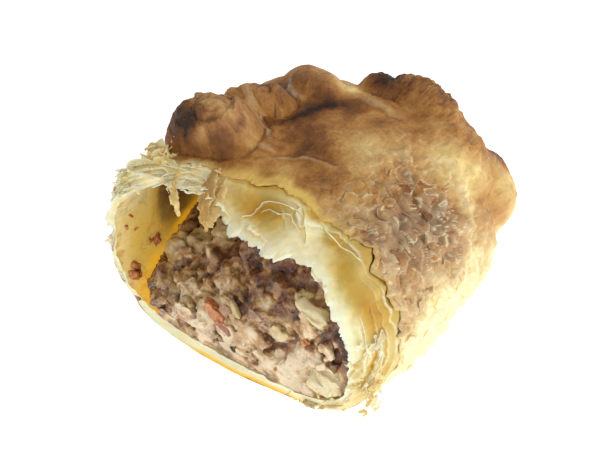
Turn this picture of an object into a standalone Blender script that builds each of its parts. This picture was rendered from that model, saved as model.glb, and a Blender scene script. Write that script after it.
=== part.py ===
"""Half of a pasty, torn open at one end, at its real size.

A cup of flaky pastry with rolled crimp folds along its left shoulder holds a heap of diced meat and potato.
+Z is up and the torn end faces -Y. The origin is at the middle of the base.

Both solids are read from one form: rays leave a level axis inside the pasty, square to it as far as the
back centre, and fan out over the back end past it. theta is a ray's angle round the axis, 0 at +X and a
quarter turn at the top. reach is its y, and past the back centre the length of arc that it has turned.
"""

import bmesh
import bpy
import numpy as np

MM = 0.001

# The level axis that the rays leave, and how far the form reaches along it
AXIS_Z = 24 * MM
FRONT_Y = -49 * MM
BACK_CENTRE_Y = 8 * MM
BACK_REACH = 41 * MM
BACK_POLE = BACK_CENTRE_Y + BACK_REACH

# Half sizes of the form at its front and at its back centre, and how square each quarter is
LEFT = (52 * MM, 50 * MM)
RIGHT = (44 * MM, 47 * MM)
RIGHT_BULGE = 3 * MM
TOP = (33 * MM, 35 * MM)
BASE_DEPTH = AXIS_Z + 1 * MM
SQUARE_TOP_RIGHT = 2.3
SQUARE_TOP_LEFT = 3.8
SQUARE_BASE_RIGHT = 3.2
SQUARE_BASE_LEFT = 2.2
SQUARE_BACK = 2.6

# Swellings of the dough: centre and half sizes in mm, the turn about Z in degrees, and the flank, which is
# the share of the swelling that eases down to the skin as the axis sees it
CRIMP_FOLDS = (
    ((-33, -13, 52), (16, 15, 15), 18, 0.3),
    ((-31, 6, 51), (14, 6, 14), 30, 0.4),
    ((-22, 24, 48), (18, 11, 13), -30, 0.4),
    ((8, 38, 47), (20, 12, 13.5), -22, 0.75),
)
BODY_SWELLS = (
    ((-38, -37, 41), (15, 13, 14), 0, 0.3),
    ((20, 28, 38), (22, 18, 19), -30, 0.3),
    ((30, 36, 30), (16, 14, 15), -30, 0.3),
)
SWELL_BLEND = 2.5 * MM
FOLD_BLEND = 0.8 * MM
CREASE_DEPTH = 1.3 * MM
CREASE_WIDTH_IN_RADII = 0.13

# Where the tear runs, in mm of reach at each angle of theta in degrees: the browned skin's edge, set back
# over the roof, and the inner edge that stands forward of it
TORN_AT = (0, 16, 32, 46, 60, 70, 83, 95, 108, 120, 128, 140, 150, 165, 190, 215, 270, 330, 345)
SKIN_EDGE = (
    -33, -33, -33, -29, -28, -27.5, -27, -27, -30, -31,
    -28.5, -31, -34, -42, -46.5, -47, -47, -45, -38,
)
INNER_EDGE = (
    -48, -49, -47.5, -44.5, -45, -48, -47.5, -46, -43, -39,
    -37.5, -39.5, -43, -46.5, -48, -48.5, -49, -48.5, -48,
)
EDGE_JAG = 1.1 * MM
EDGE_JAG_TURN = 0.11

# Pastry thickness at the base, the left wall, the roof, the right wall and the back
WALL_BASE = 4 * MM
WALL_LEFT = 4 * MM
WALL_ROOF = 5.5 * MM
WALL_RIGHT = 5 * MM
WALL_BACK = 7 * MM

# The torn band steps down through leaves of pastry: share of the way forward and of the way in, and how
# far each leaf's own edge wanders
LEAF_STEPS = ((0.03, 0.26), (0.34, 0.32), (0.38, 0.58), (0.68, 0.64), (0.73, 0.92), (1.0, 1.0))
LEAF_WANDER = 0.2
LEAF_WANDER_TURN = 0.3

# Relief of the baked skin: rolling swells, then flaky crags that are deepest on the right side
SWELL_CELL = 17 * MM
SWELL_HEIGHT = 1.3 * MM
CRAG_CELL = 5 * MM
CRAG_HEIGHT = 0.75 * MM

# The filling's open slope: a steep front up to a height that falls to the left, then a heap that lies back
FILLING_FRONT_Y = -47.5 * MM
FILLING_GAP = 0.8 * MM
FILLING_GAP_BACK = 1.0 * MM
SLOPE_HEIGHT = 24 * MM
SLOPE_FALL = 1 / 3
SLOPE_LEAN = 1.0
SLOPE_LEAN_LEFT = 2.3
SLOPE_LEAN_WIDTH = 45 * MM
SLOPE_LEAN_POWER = 1.3
SLOPE_BEND = 6 * MM
SLOPE_BACK_Y = -4 * MM
RIM_SETTLING_STEPS = 12
LUMP_CELL = 9 * MM
LUMP_HEIGHT = 1.6 * MM

# Diced pieces that stand out of the slope: how many, their sizes, and their gap to the pastry
DICE = 68
DICE_SIZE = (2.6 * MM, 4.8 * MM)
DICE_APART = 0.85
DICE_SUNK = 0.8 * MM
DICE_GAP = 1.0 * MM
DICE_SQUARENESS = 0.7
DICE_ROUGHNESS = 0.22

# Splinters of skin that hang over the torn edge: theta, reach, depth and width in mm from root to tip
SPLINTER_BROWN = (
    (124, -27.5, 0.3, 4),
    (121, -34, 0.8, 10),
    (118, -41, 3.5, 10),
    (117, -44.5, 8, 6),
    (117, -45, 11, 2),
)
SPLINTER_PALE = (
    (138, -33, 2, 5),
    (136, -39, 3.5, 4.5),
    (135, -43, 8, 4),
    (134.5, -44.5, 11, 1.5),
)
SPLINTER_THICKNESS = 1.3 * MM

CRUST_TURNS = 76
CRUST_OUTER_ROWS = 27
CRUST_INNER_ROWS = 12
FILLING_TURNS = 38
FILLING_BACK_ROWS = 8
FILLING_FACE_ROWS = 9


def clear_scene():
    for thing in list(bpy.data.objects):
        bpy.data.objects.remove(thing, do_unlink=True)


def corner_numbers(corners, seed):
    """A fixed random number from -1 to 1 for each whole-number corner of a lattice."""
    mixed = corners @ np.array([73856093, 19349663, 83492791]) + seed * 2654435
    mixed = (mixed ^ (mixed >> 13)) * 1274126177
    mixed = (mixed ^ (mixed >> 16)) & 0xFFFFFF
    return mixed / 0x7FFFFF - 1.0


def noise(points, cell, seed):
    """Smooth noise from -1 to 1: the lattice's random numbers, eased across each cubic cell."""
    scaled = points / cell
    low = np.floor(scaled).astype(np.int64)
    part = scaled - low
    part = part * part * part * (part * (part * 6 - 15) + 10)
    total = np.zeros(points.shape[:-1])
    for corner in np.ndindex(2, 2, 2):
        step = np.array(corner)
        weight = np.prod(np.where(step, part, 1 - part), axis=-1)
        total = total + weight * corner_numbers(low + step, seed)
    return total


def fractal(points, cell, octaves, seed):
    """Noise summed over octaves, each half the size and half the height of the one before."""
    total = np.zeros(points.shape[:-1])
    for octave in range(octaves):
        total = total + noise(points, cell / 2**octave, seed + octave) / 2**octave
    return total


def smooth_max(a, b, blend):
    """The larger of two heights, rounded where they meet within the blend."""
    share = np.clip(0.5 + 0.5 * (a - b) / blend, 0, 1)
    return b + (a - b) * share + blend * share * (1 - share)


def ease(value, low, high):
    """0 below low, 1 above high, and a smooth step between."""
    share = np.clip((value - low) / (high - low), 0, 1)
    return share * share * (3 - 2 * share)


def rays(theta, reach):
    """Where each ray starts on the axis, its way, and how far it has turned past the back centre."""
    turned = np.clip(reach - BACK_CENTRE_Y, 0, None) / BACK_REACH * (np.pi / 2)
    y = np.minimum(reach, BACK_CENTRE_Y)
    start = np.stack([np.zeros_like(y), y, np.full_like(y, AXIS_Z)], -1)
    way = np.stack(
        [np.cos(turned) * np.cos(theta), np.sin(turned), np.cos(turned) * np.sin(theta)], -1
    )
    return start, way, turned


def form_radius(theta, reach):
    """The plain form's radius: a superellipse section with four different quarters, closed over the back
    by a second superellipse between the section's radius and the back's reach."""
    turned = rays(theta, reach)[2]
    along = (np.minimum(reach, BACK_CENTRE_Y) - FRONT_Y) / (BACK_CENTRE_Y - FRONT_Y)
    across, up = np.cos(theta), np.sin(theta)
    left = LEFT[0] + (LEFT[1] - LEFT[0]) * along
    bulge = RIGHT_BULGE * np.sin(np.pi * np.clip(along, 0, 1))
    right = RIGHT[0] + (RIGHT[1] - RIGHT[0]) * along + bulge
    top = TOP[0] + (TOP[1] - TOP[0]) * along
    wide = np.where(across >= 0, right, left)
    high = np.where(up >= 0, top, BASE_DEPTH)
    upper_power = np.where(across >= 0, SQUARE_TOP_RIGHT, SQUARE_TOP_LEFT)
    lower_power = np.where(across >= 0, SQUARE_BASE_RIGHT, SQUARE_BASE_LEFT)
    power = np.where(up >= 0, upper_power, lower_power)
    section = ((np.abs(across) / wide) ** power + (np.abs(up) / high) ** power) ** (-1 / power)
    back = (np.cos(turned) / section) ** SQUARE_BACK + (np.sin(turned) / BACK_REACH) ** SQUARE_BACK
    return back ** (-1 / SQUARE_BACK)


def raised(skin, start, way, swelling, blend, crease_depth):
    """The skin raised to where each ray leaves an ellipsoid. Its flank eases down to the skin towards the
    rays that only graze it, and a crease may run round its foot."""
    centre, half_sizes, turn, flank = swelling
    cosine, sine = np.cos(np.radians(turn)), np.sin(np.radians(turn))
    to_own_axes = np.array([[cosine, sine, 0], [-sine, cosine, 0], [0, 0, 1]])
    scale = np.array(half_sizes) * MM
    origin = ((start - np.array(centre) * MM) @ to_own_axes.T) / scale
    heading = (way @ to_own_axes.T) / scale
    square = (heading * heading).sum(-1)
    slope = (origin * heading).sum(-1)
    miss = (origin * origin).sum(-1) - slope * slope / square
    leaves = (-slope + np.sqrt(np.clip(1 - miss, 0, None) * square)) / square
    rise = smooth_max(skin, leaves, blend)
    rise = skin + (rise - skin) * ease(1 - miss, 0, flank)
    foot = np.exp(-(((np.sqrt(miss) - 1) / CREASE_WIDTH_IN_RADII) ** 2))
    return rise - crease_depth * foot * ease(leaves - skin, -2 * MM, 2 * MM)


def flakiness(points):
    """How craggy the baked skin is, from 0 on the smooth crown to 1 down the right side."""
    return ease(points[..., 0], 2 * MM, 34 * MM)


def crust_point(theta, reach, depth):
    """A point of the pastry: on the baked skin at depth 0, and on the cavity's wall at depth 1."""
    start, way, turned = rays(theta, reach)
    plain = form_radius(theta, reach)
    skin = plain
    for swelling in BODY_SWELLS:
        skin = raised(skin, start, way, swelling, SWELL_BLEND, 0)
    for fold in CRIMP_FOLDS:
        skin = raised(skin, start, way, fold, FOLD_BLEND, CREASE_DEPTH)
    rough = start + way * skin[..., None]
    relief = SWELL_HEIGHT * fractal(rough, SWELL_CELL, 2, 3)
    relief = relief + CRAG_HEIGHT * flakiness(rough) * fractal(rough, CRAG_CELL, 2, 9)
    relief = relief * ease(rough[..., 2], 1 * MM, 9 * MM)
    skin = skin + relief * np.cos(turned) ** 0.5
    inner = plain - wall_thickness(theta, turned)
    point = start + way * (skin + (inner - skin) * depth)[..., None]
    point[..., 2] = np.maximum(point[..., 2], 0)
    return point


def wall_thickness(theta, turned):
    """Pastry thickness: each side's own, blended round the section and towards the back."""
    across, up = np.cos(theta), np.sin(theta)
    side = np.where(across >= 0, WALL_RIGHT, WALL_LEFT)
    level = np.where(up >= 0, WALL_ROOF, WALL_BASE)
    section = side * across**2 + level * up**2
    return section + (WALL_BACK - section) * np.sin(turned) ** 2


def torn_edge(theta, values, seed):
    """The tear's reach at each angle: its named points joined by smooth steps, and a jagged wander."""
    degrees = np.degrees(theta) % 360
    at = np.array([*TORN_AT, 360.0])
    reach = np.array([*values, values[0]]) * MM
    place = np.clip(np.searchsorted(at, degrees, side="right") - 1, 0, len(at) - 2)
    share = ease(degrees, at[place], at[place + 1])
    smooth = reach[place] + (reach[place + 1] - reach[place]) * share
    ring = np.stack([np.cos(theta), np.sin(theta), np.zeros_like(theta)], -1)
    return smooth + EDGE_JAG * ease(np.sin(theta), -0.5, 0.2) * noise(ring, EDGE_JAG_TURN, seed)


def closed_grid(name, rows, first_pole, last_pole):
    """A closed mesh from rings of points, one row after another, between two single points."""
    count, turns = rows.shape[:2]
    points = np.concatenate([rows.reshape(-1, 3), [first_pole, last_pole]])
    column = np.arange(turns)
    after = (column + 1) % turns
    row = np.arange(count - 1)[:, None] * turns
    quads = np.stack([row + column, row + after, row + turns + after, row + turns + column], -1)
    first, last = count * turns, count * turns + 1
    end = (count - 1) * turns
    caps = [np.stack([np.full(turns, first), after, column], -1)]
    caps.append(np.stack([np.full(turns, last), end + column, end + after], -1))
    mesh = bpy.data.meshes.new(name)
    faces = quads.reshape(-1, 4).tolist() + np.concatenate(caps).tolist()
    mesh.from_pydata(points.tolist(), [], faces)
    return placed(name, mesh)


def placed(name, mesh):
    """An object for the mesh, with its faces turned outwards."""
    solid = bmesh.new()
    solid.from_mesh(mesh)
    bmesh.ops.recalc_face_normals(solid, faces=solid.faces)
    solid.to_mesh(mesh)
    solid.free()
    thing = bpy.data.objects.new(name, mesh)
    bpy.context.scene.collection.objects.link(thing)
    return thing


def finish(thing, colour, roughness):
    """A Principled material of the object's own."""
    material = bpy.data.materials.new(thing.name + "_material")
    material.use_nodes = True
    shader = material.node_tree.nodes["Principled BSDF"]
    shader.inputs["Base Color"].default_value = (*colour, 1)
    shader.inputs["Roughness"].default_value = roughness
    shader.inputs["Metallic"].default_value = 0
    thing.data.materials.clear()
    thing.data.materials.append(material)
    thing.data.shade_smooth()
    thing.data.set_sharp_from_angle(angle=np.radians(45))


def fused(body, pieces):
    """Joins the pieces into the body with one Boolean union, then removes them."""
    group = bpy.data.collections.new(body.name + "_pieces")
    bpy.context.scene.collection.children.link(group)
    for piece in pieces:
        bpy.context.scene.collection.objects.unlink(piece)
        group.objects.link(piece)
    union = body.modifiers.new("union", "BOOLEAN")
    union.operation = "UNION"
    union.operand_type = "COLLECTION"
    union.collection = group
    union.solver = "MANIFOLD"
    bpy.context.view_layer.objects.active = body
    bpy.ops.object.modifier_apply(modifier="union")
    for piece in pieces:
        bpy.data.objects.remove(piece, do_unlink=True)
    bpy.data.collections.remove(group)
    return body


def make_crust():
    """One cup of pastry: the skin from its back pole to the tear, down the torn leaves, and the cavity's
    wall from the inner edge to its own back pole."""
    theta = np.linspace(0, 2 * np.pi, CRUST_TURNS, endpoint=False)
    skin_edge = torn_edge(theta, SKIN_EDGE, 21)
    inner_edge = torn_edge(theta, INNER_EDGE, 22)
    rows = []
    for share in np.linspace(0, 1, CRUST_OUTER_ROWS + 1)[1:]:
        reach = BACK_POLE + (skin_edge - BACK_POLE) * share
        rows.append(crust_point(theta, reach, 0.0))
    ring = np.stack([np.cos(theta), np.sin(theta), np.zeros_like(theta)], -1)
    for number, (forward, inward) in enumerate(LEAF_STEPS):
        wander = LEAF_WANDER * noise(ring, LEAF_WANDER_TURN, 30 + (number + 1) // 2)
        share = forward + wander * np.sin(np.pi * forward)
        rows.append(crust_point(theta, skin_edge + (inner_edge - skin_edge) * share, inward))
    for share in np.linspace(1, 0, CRUST_INNER_ROWS + 1)[1:-1]:
        reach = BACK_POLE + (inner_edge - BACK_POLE) * share
        rows.append(crust_point(theta, reach, 1.0))
    end = np.array([0.0])
    outer_pole = crust_point(end, end + BACK_POLE, 0.0)[0]
    inner_pole = crust_point(end, end + BACK_POLE, 1.0)[0]
    crust = closed_grid("crust", np.array(rows), outer_pole, inner_pole)
    brown = make_splinter("splinter_brown", SPLINTER_BROWN)
    pale = make_splinter("splinter_pale", SPLINTER_PALE)
    return fused(crust, [brown, pale])


def make_splinter(name, path):
    """A thin curved flake along a path given in the form's own coordinates."""
    places = np.array(path, float)
    theta = np.radians(places[:, 0])
    reach = places[:, 1] * MM
    start, way, _ = rays(theta, reach)
    middle = start + way * (form_radius(theta, reach) - places[:, 2] * MM)[:, None]
    side = np.stack([np.sin(theta), np.zeros_like(theta), -np.cos(theta)], -1)
    half_width = places[:, 3:] * MM / 2
    half_thick = SPLINTER_THICKNESS / 2
    corners = [
        middle + side * half_width + way * half_thick,
        middle - side * half_width + way * half_thick,
        middle - side * half_width - way * half_thick,
        middle + side * half_width - way * half_thick,
    ]
    rows = np.stack(corners, 1)
    return closed_grid(name, rows, rows[0].mean(0), rows[-1].mean(0))


def slope_y(points):
    """The y of the filling's open slope over a place in the section: a steep front up to a height that
    falls to the left, and above it a heap that leans back, most on the left."""
    x, z = points[..., 0], points[..., 2]
    above = z - (SLOPE_HEIGHT + SLOPE_FALL * x)
    above = smooth_max(above, np.zeros_like(above), SLOPE_BEND)
    leftward = np.clip(-x / SLOPE_LEAN_WIDTH, 0, 1)
    lean = SLOPE_LEAN + SLOPE_LEAN_LEFT * leftward**SLOPE_LEAN_POWER
    return np.minimum(FILLING_FRONT_Y + above * lean, SLOPE_BACK_Y)


def inside_cavity(points, gap):
    """Points drawn in towards the axis until they lie the gap inside the cavity's wall."""
    x, y, z = points[..., 0], points[..., 1], points[..., 2] - AXIS_Z
    theta = np.arctan2(z, x)
    radius = np.hypot(x, z)
    wall = form_radius(theta, y) - wall_thickness(theta, np.zeros_like(y)) - gap
    share = np.minimum(1, wall / np.maximum(radius, 1e-9))
    return np.stack([x * share, y, z * share + AXIS_Z], -1)


def cavity_point(theta, reach, gap):
    """A point of the filling's outside, the gap in from the cavity's wall and a little more at the back."""
    start, way, turned = rays(theta, reach)
    gap = gap + FILLING_GAP_BACK * np.sin(turned)
    radius = form_radius(theta, reach) - wall_thickness(theta, turned) - gap
    return start + way * radius[..., None]


def make_filling():
    """The heap of diced meat and potato: it fills the cavity from the back to the open slope, with the
    diced pieces that show fused on."""
    theta = np.linspace(0, 2 * np.pi, FILLING_TURNS, endpoint=False)
    rim = np.full(FILLING_TURNS, FILLING_FRONT_Y)
    for _ in range(RIM_SETTLING_STEPS):
        rim = 0.5 * rim + 0.5 * slope_y(cavity_point(theta, rim, FILLING_GAP))
    rows = []
    for share in np.linspace(0, 1, FILLING_BACK_ROWS + 1)[1:]:
        rows.append(cavity_point(theta, BACK_POLE + (rim - BACK_POLE) * share, FILLING_GAP))
    ring = rows[-1]
    middle = np.array([0, 0, AXIS_Z])
    for share in np.linspace(1, 0, FILLING_FACE_ROWS + 1)[1:-1]:
        row = middle + (ring - middle) * share
        row[:, 1] = slope_y(row) + LUMP_HEIGHT * np.sin(np.pi * share) * noise(row, LUMP_CELL, 12)
        rows.append(row)
    back = cavity_point(np.array([0.0]), np.array([BACK_POLE]), FILLING_GAP)[0]
    front = np.array([0, slope_y(middle), AXIS_Z])
    filling = closed_grid("filling", np.array(rows), back, front)
    return fused(filling, [make_dice(n, place) for n, place in enumerate(dice_places())])


def dice_places():
    """Where diced pieces stand on the slope: seeded draws over the section, more where the slope lies
    back and so has more area, kept apart from each other."""
    draw = np.random.default_rng(5)
    kept = []
    while len(kept) < DICE:
        theta = draw.uniform(0, 2 * np.pi)
        share = draw.uniform(0.05, 0.93) ** 0.6
        ring = cavity_point(np.array([theta]), np.array([FILLING_FRONT_Y]), FILLING_GAP)[0]
        place = np.array([ring[0] * share, 0, AXIS_Z + (ring[2] - AXIS_Z) * share])
        place[1] = slope_y(place)
        lean = (slope_y(place + [0, 0, MM]) - place[1]) / MM
        if place[1] > SLOPE_BACK_Y - 2 * MM or draw.uniform() > 0.35 + 0.3 * lean:
            continue
        place[1] += DICE_SUNK
        if all(np.linalg.norm(place - other) > DICE_APART * DICE_SIZE[1] for other in kept):
            kept.append(place)
    return kept


def make_dice(number, place):
    """One diced piece: a low ball, squared off and roughened, turned at random and kept off the pastry."""
    draw = np.random.default_rng(100 + number)
    ball = bmesh.new()
    bmesh.ops.create_icosphere(ball, subdivisions=2, radius=1)
    bmesh.ops.dissolve_limit(ball, angle_limit=np.radians(2), verts=ball.verts, edges=ball.edges)
    points = np.array([vertex.co for vertex in ball.verts])
    squared = np.sign(points) * np.abs(points) ** DICE_SQUARENESS
    squared = squared * (1 + DICE_ROUGHNESS * noise(squared + number, 0.9, 7))[:, None]
    size = draw.uniform(*DICE_SIZE) * draw.uniform(0.75, 1.2, 3)
    turn = np.linalg.qr(draw.normal(size=(3, 3)))[0]
    world = inside_cavity((squared * size) @ turn.T + place, DICE_GAP)
    for vertex, point in zip(ball.verts, world):
        vertex.co = point
    mesh = bpy.data.meshes.new(f"dice_{number}")
    ball.to_mesh(mesh)
    ball.free()
    return placed(f"dice_{number}", mesh)


def main():
    clear_scene()
    finish(make_crust(), (0.62, 0.36, 0.14), 0.6)
    finish(make_filling(), (0.20, 0.11, 0.06), 0.45)


main()
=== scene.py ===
"""Half of a baked pasty, torn open at one end, dressed over its solids. Metres, +Z up.

The pastry follows the same form as the solids: rays leave a level axis inside the pasty, square to it as far
as the back centre, and fan out over the back past it. theta is a ray's angle round the axis, 0 at +X and a
quarter turn at the top. reach is its y, and past the back centre the length of arc that it has turned.
"""

import bpy
import numpy as np
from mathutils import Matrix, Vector


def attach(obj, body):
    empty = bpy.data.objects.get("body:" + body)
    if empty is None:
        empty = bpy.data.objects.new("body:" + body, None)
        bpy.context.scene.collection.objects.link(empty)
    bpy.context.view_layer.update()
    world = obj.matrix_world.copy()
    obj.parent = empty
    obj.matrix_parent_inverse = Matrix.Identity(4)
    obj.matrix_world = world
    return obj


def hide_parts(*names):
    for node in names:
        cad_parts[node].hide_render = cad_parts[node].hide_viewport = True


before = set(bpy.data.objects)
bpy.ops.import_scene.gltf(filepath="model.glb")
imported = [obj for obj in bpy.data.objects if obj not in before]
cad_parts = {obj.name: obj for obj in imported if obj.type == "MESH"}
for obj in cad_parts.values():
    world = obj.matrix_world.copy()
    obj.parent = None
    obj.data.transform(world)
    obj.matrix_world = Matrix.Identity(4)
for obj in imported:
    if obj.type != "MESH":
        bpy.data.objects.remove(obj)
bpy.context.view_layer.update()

MM = 0.001
# Where an angle is laid out flat as a length, it is taken round the axis at this radius
PLAN_RADIUS = 45 * MM

# The form, with the values that the solids have
AXIS_Z = 24 * MM
FRONT_Y = -49 * MM
BACK_CENTRE_Y = 8 * MM
BACK_REACH = 41 * MM
BACK_POLE = BACK_CENTRE_Y + BACK_REACH
LEFT = (52 * MM, 50 * MM)
RIGHT = (44 * MM, 47 * MM)
RIGHT_BULGE = 3 * MM
TOP = (33 * MM, 35 * MM)
BASE_DEPTH = AXIS_Z + 1 * MM
SQUARE_TOP_RIGHT = 2.3
SQUARE_TOP_LEFT = 3.8
SQUARE_BASE_RIGHT = 3.2
SQUARE_BASE_LEFT = 2.2
SQUARE_BACK = 2.6
WALL_BASE = 4 * MM
WALL_LEFT = 4 * MM
WALL_ROOF = 5.5 * MM
WALL_RIGHT = 5 * MM
WALL_BACK = 7 * MM

# Swellings of the dough: centre and half sizes in mm, the turn about Z in degrees, and the flank, which is
# the share of the swelling that eases down to the skin as the axis sees it
CRIMP_FOLDS = (
    ((-33, -13, 52), (16, 15, 15), 18, 0.3),
    ((-31, 6, 51), (14, 6, 14), 30, 0.4),
    ((-22, 24, 48), (18, 11, 13), -30, 0.4),
    ((8, 38, 46.8), (20, 12, 13.5), -22, 0.72),
    ((-5, 35.5, 47.2), (11, 9, 11.5), -22, 0.6),
)
BODY_SWELLS = (
    ((-38, -37, 41), (15, 13, 14), 0, 0.3),
    ((20, 28, 38), (22, 18, 19), -30, 0.3),
    ((30, 36, 30), (16, 14, 15), -30, 0.3),
)
SWELL_BLEND = 2.5 * MM
FOLD_BLEND = 0.8 * MM
CREASE_DEPTH = 1.6 * MM
CREASE_WIDTH_IN_RADII = 0.09
SWELL_CELL = 17 * MM
SWELL_HEIGHT = 1.3 * MM
CRAG_CELL = 5 * MM
CRAG_HEIGHT = 0.75 * MM

# The tear, in mm of reach at each angle of theta in degrees: the browned skin's edge and the inner edge
TORN_AT = (0, 16, 32, 46, 60, 70, 83, 95, 108, 120, 128, 140, 150, 165, 190, 215, 270, 330, 345)
SKIN_EDGE = (
    -33, -33, -33, -29, -28, -27.5, -27, -27, -30, -31,
    -28.5, -31, -34, -42, -47, -49, -49.5, -47.5, -39,
)
INNER_EDGE = (
    -48, -49, -47.5, -44.5, -45, -48, -47.5, -46, -43, -39,
    -37.5, -39.5, -43, -46.5, -47.5, -48, -48, -48, -48,
)
EDGE_JAG = 1.1 * MM
EDGE_JAG_TURN = 0.11

# The filling's open slope
FILLING_FRONT_Y = -47.5 * MM
FILLING_GAP = 0.8 * MM
FILLING_GAP_BACK = 1.0 * MM
SLOPE_HEIGHT = 24 * MM
SLOPE_FALL = 1 / 3
SLOPE_LEAN = 1.0
SLOPE_LEAN_LEFT = 2.3
SLOPE_BACK_Y = -4 * MM


# Large odd numbers that scatter a lattice corner's bits, and the bits that are kept
AXIS_MULTIPLIERS = np.array([73856093, 19349663, 83492791])
SEED_MULTIPLIER = 2654435
MIX_MULTIPLIER = 1274126177
KEPT_BITS = 0xFFFFFF


def corner_numbers(corners, seed):
    """A fixed random number from -1 to 1 for each whole-number corner of a lattice."""
    mixed = corners @ AXIS_MULTIPLIERS + seed * SEED_MULTIPLIER
    mixed = (mixed ^ (mixed >> 13)) * MIX_MULTIPLIER
    mixed = (mixed ^ (mixed >> 16)) & KEPT_BITS
    return mixed / (KEPT_BITS // 2) - 1.0


def noise(points, cell, seed):
    """Smooth noise from -1 to 1: the lattice's random numbers, eased across each cubic cell."""
    scaled = points / cell
    low = np.floor(scaled).astype(np.int64)
    part = scaled - low
    part = part * part * part * (part * (part * 6 - 15) + 10)
    total = np.zeros(points.shape[:-1])
    for corner in np.ndindex(2, 2, 2):
        step = np.array(corner)
        weight = np.prod(np.where(step, part, 1 - part), axis=-1)
        total = total + weight * corner_numbers(low + step, seed)
    return total


def fractal(points, cell, octaves, seed):
    """Noise summed over octaves, each half the size and half the height of the one before."""
    total = np.zeros(points.shape[:-1])
    for octave in range(octaves):
        total = total + noise(points, cell / 2**octave, seed + octave) / 2**octave
    return total


def warped(points, cell, strength, seed):
    """Points pushed about by three noises, so that what is drawn on them looks torn and not woven."""
    push = [fractal(points, cell, 2, seed + 10 * axis) for axis in range(3)]
    return points + strength * np.stack(push, -1)


def smooth_max(a, b, blend):
    """The larger of two heights, rounded where they meet within the blend."""
    share = np.clip(0.5 + 0.5 * (a - b) / blend, 0, 1)
    return b + (a - b) * share + blend * share * (1 - share)


def ease(value, low, high):
    """0 below low, 1 above high, and a smooth step between."""
    share = np.clip((value - low) / (high - low), 0, 1)
    return share * share * (3 - 2 * share)


def smoothed(values, steps):
    """Values smoothed by a bell over that many steps each way, with their ends held."""
    bell = np.hanning(2 * steps + 1)
    return np.convolve(np.pad(values, steps, mode="edge"), bell / bell.sum(), mode="valid")


def bump(value, centre, width):
    """1 at the centre, falling off on both sides as a bell of that width."""
    return np.exp(-(((value - centre) / width) ** 2))


def rays(theta, reach):
    """Where each ray starts on the axis, the way it goes, and how far it has turned past the back centre."""
    turned = np.clip(reach - BACK_CENTRE_Y, 0, None) / BACK_REACH * (np.pi / 2)
    y = np.minimum(reach, BACK_CENTRE_Y)
    start = np.stack([np.zeros_like(y), y, np.full_like(y, AXIS_Z)], -1)
    way = np.stack(
        [np.cos(turned) * np.cos(theta), np.sin(turned), np.cos(turned) * np.sin(theta)], -1
    )
    return start, way, turned


def form_radius(theta, reach):
    """The plain form's radius: a superellipse section with four different quarters, closed over the back
    by a second superellipse between the section's radius and the back's reach."""
    turned = rays(theta, reach)[2]
    along = (np.minimum(reach, BACK_CENTRE_Y) - FRONT_Y) / (BACK_CENTRE_Y - FRONT_Y)
    across, up = np.cos(theta), np.sin(theta)
    left = LEFT[0] + (LEFT[1] - LEFT[0]) * along
    bulge = RIGHT_BULGE * np.sin(np.pi * np.clip(along, 0, 1))
    right = RIGHT[0] + (RIGHT[1] - RIGHT[0]) * along + bulge
    top = TOP[0] + (TOP[1] - TOP[0]) * along
    wide = np.where(across >= 0, right, left)
    high = np.where(up >= 0, top, BASE_DEPTH)
    upper_power = np.where(across >= 0, SQUARE_TOP_RIGHT, SQUARE_TOP_LEFT)
    lower_power = np.where(across >= 0, SQUARE_BASE_RIGHT, SQUARE_BASE_LEFT)
    power = np.where(up >= 0, upper_power, lower_power)
    section = ((np.abs(across) / wide) ** power + (np.abs(up) / high) ** power) ** (-1 / power)
    back = (np.cos(turned) / section) ** SQUARE_BACK + (np.sin(turned) / BACK_REACH) ** SQUARE_BACK
    return back ** (-1 / SQUARE_BACK)


def raised(skin, start, way, swelling, blend, crease_depth):
    """The skin raised to where each ray leaves an ellipsoid. Its flank eases down to the skin towards the
    rays that only graze it, and a crease may run round its foot."""
    centre, half_sizes, turn, flank = swelling
    cosine, sine = np.cos(np.radians(turn)), np.sin(np.radians(turn))
    to_own_axes = np.array([[cosine, sine, 0], [-sine, cosine, 0], [0, 0, 1]])
    scale = np.array(half_sizes) * MM
    origin = ((start - np.array(centre) * MM) @ to_own_axes.T) / scale
    heading = (way @ to_own_axes.T) / scale
    square = (heading * heading).sum(-1)
    slope = (origin * heading).sum(-1)
    miss = (origin * origin).sum(-1) - slope * slope / square
    leaves = (-slope + np.sqrt(np.clip(1 - miss, 0, None) * square)) / square
    rise = smooth_max(skin, leaves, blend)
    rise = skin + (rise - skin) * ease(1 - miss, 0, flank)
    foot = np.exp(-(((np.sqrt(miss) - 1) / CREASE_WIDTH_IN_RADII) ** 2))
    return rise - crease_depth * foot * ease(leaves - skin, -2 * MM, 2 * MM)


def flakiness(points):
    """How craggy the baked skin is, from 0 on the smooth crown to 1 down the right side."""
    return ease(points[..., 0], 2 * MM, 34 * MM)


def wall_thickness(theta, turned):
    """Pastry thickness: each side's own, blended round the section and towards the back."""
    across, up = np.cos(theta), np.sin(theta)
    side = np.where(across >= 0, WALL_RIGHT, WALL_LEFT)
    level = np.where(up >= 0, WALL_ROOF, WALL_BASE)
    section = side * across**2 + level * up**2
    return section + (WALL_BACK - section) * np.sin(turned) ** 2


def torn_edge(theta, values, seed, jag=EDGE_JAG):
    """The tear's reach at each angle: its named points joined by smooth steps, and a jagged wander."""
    degrees = np.degrees(theta) % 360
    at = np.array([*TORN_AT, 360.0])
    reach = np.array([*values, values[0]]) * MM
    place = np.clip(np.searchsorted(at, degrees, side="right") - 1, 0, len(at) - 2)
    share = ease(degrees, at[place], at[place + 1])
    smooth = reach[place] + (reach[place + 1] - reach[place]) * share
    ring = np.stack([np.cos(theta), np.sin(theta), np.zeros_like(theta)], -1)
    return smooth + jag * ease(np.sin(theta), -0.5, 0.2) * noise(ring, EDGE_JAG_TURN, seed)


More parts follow.
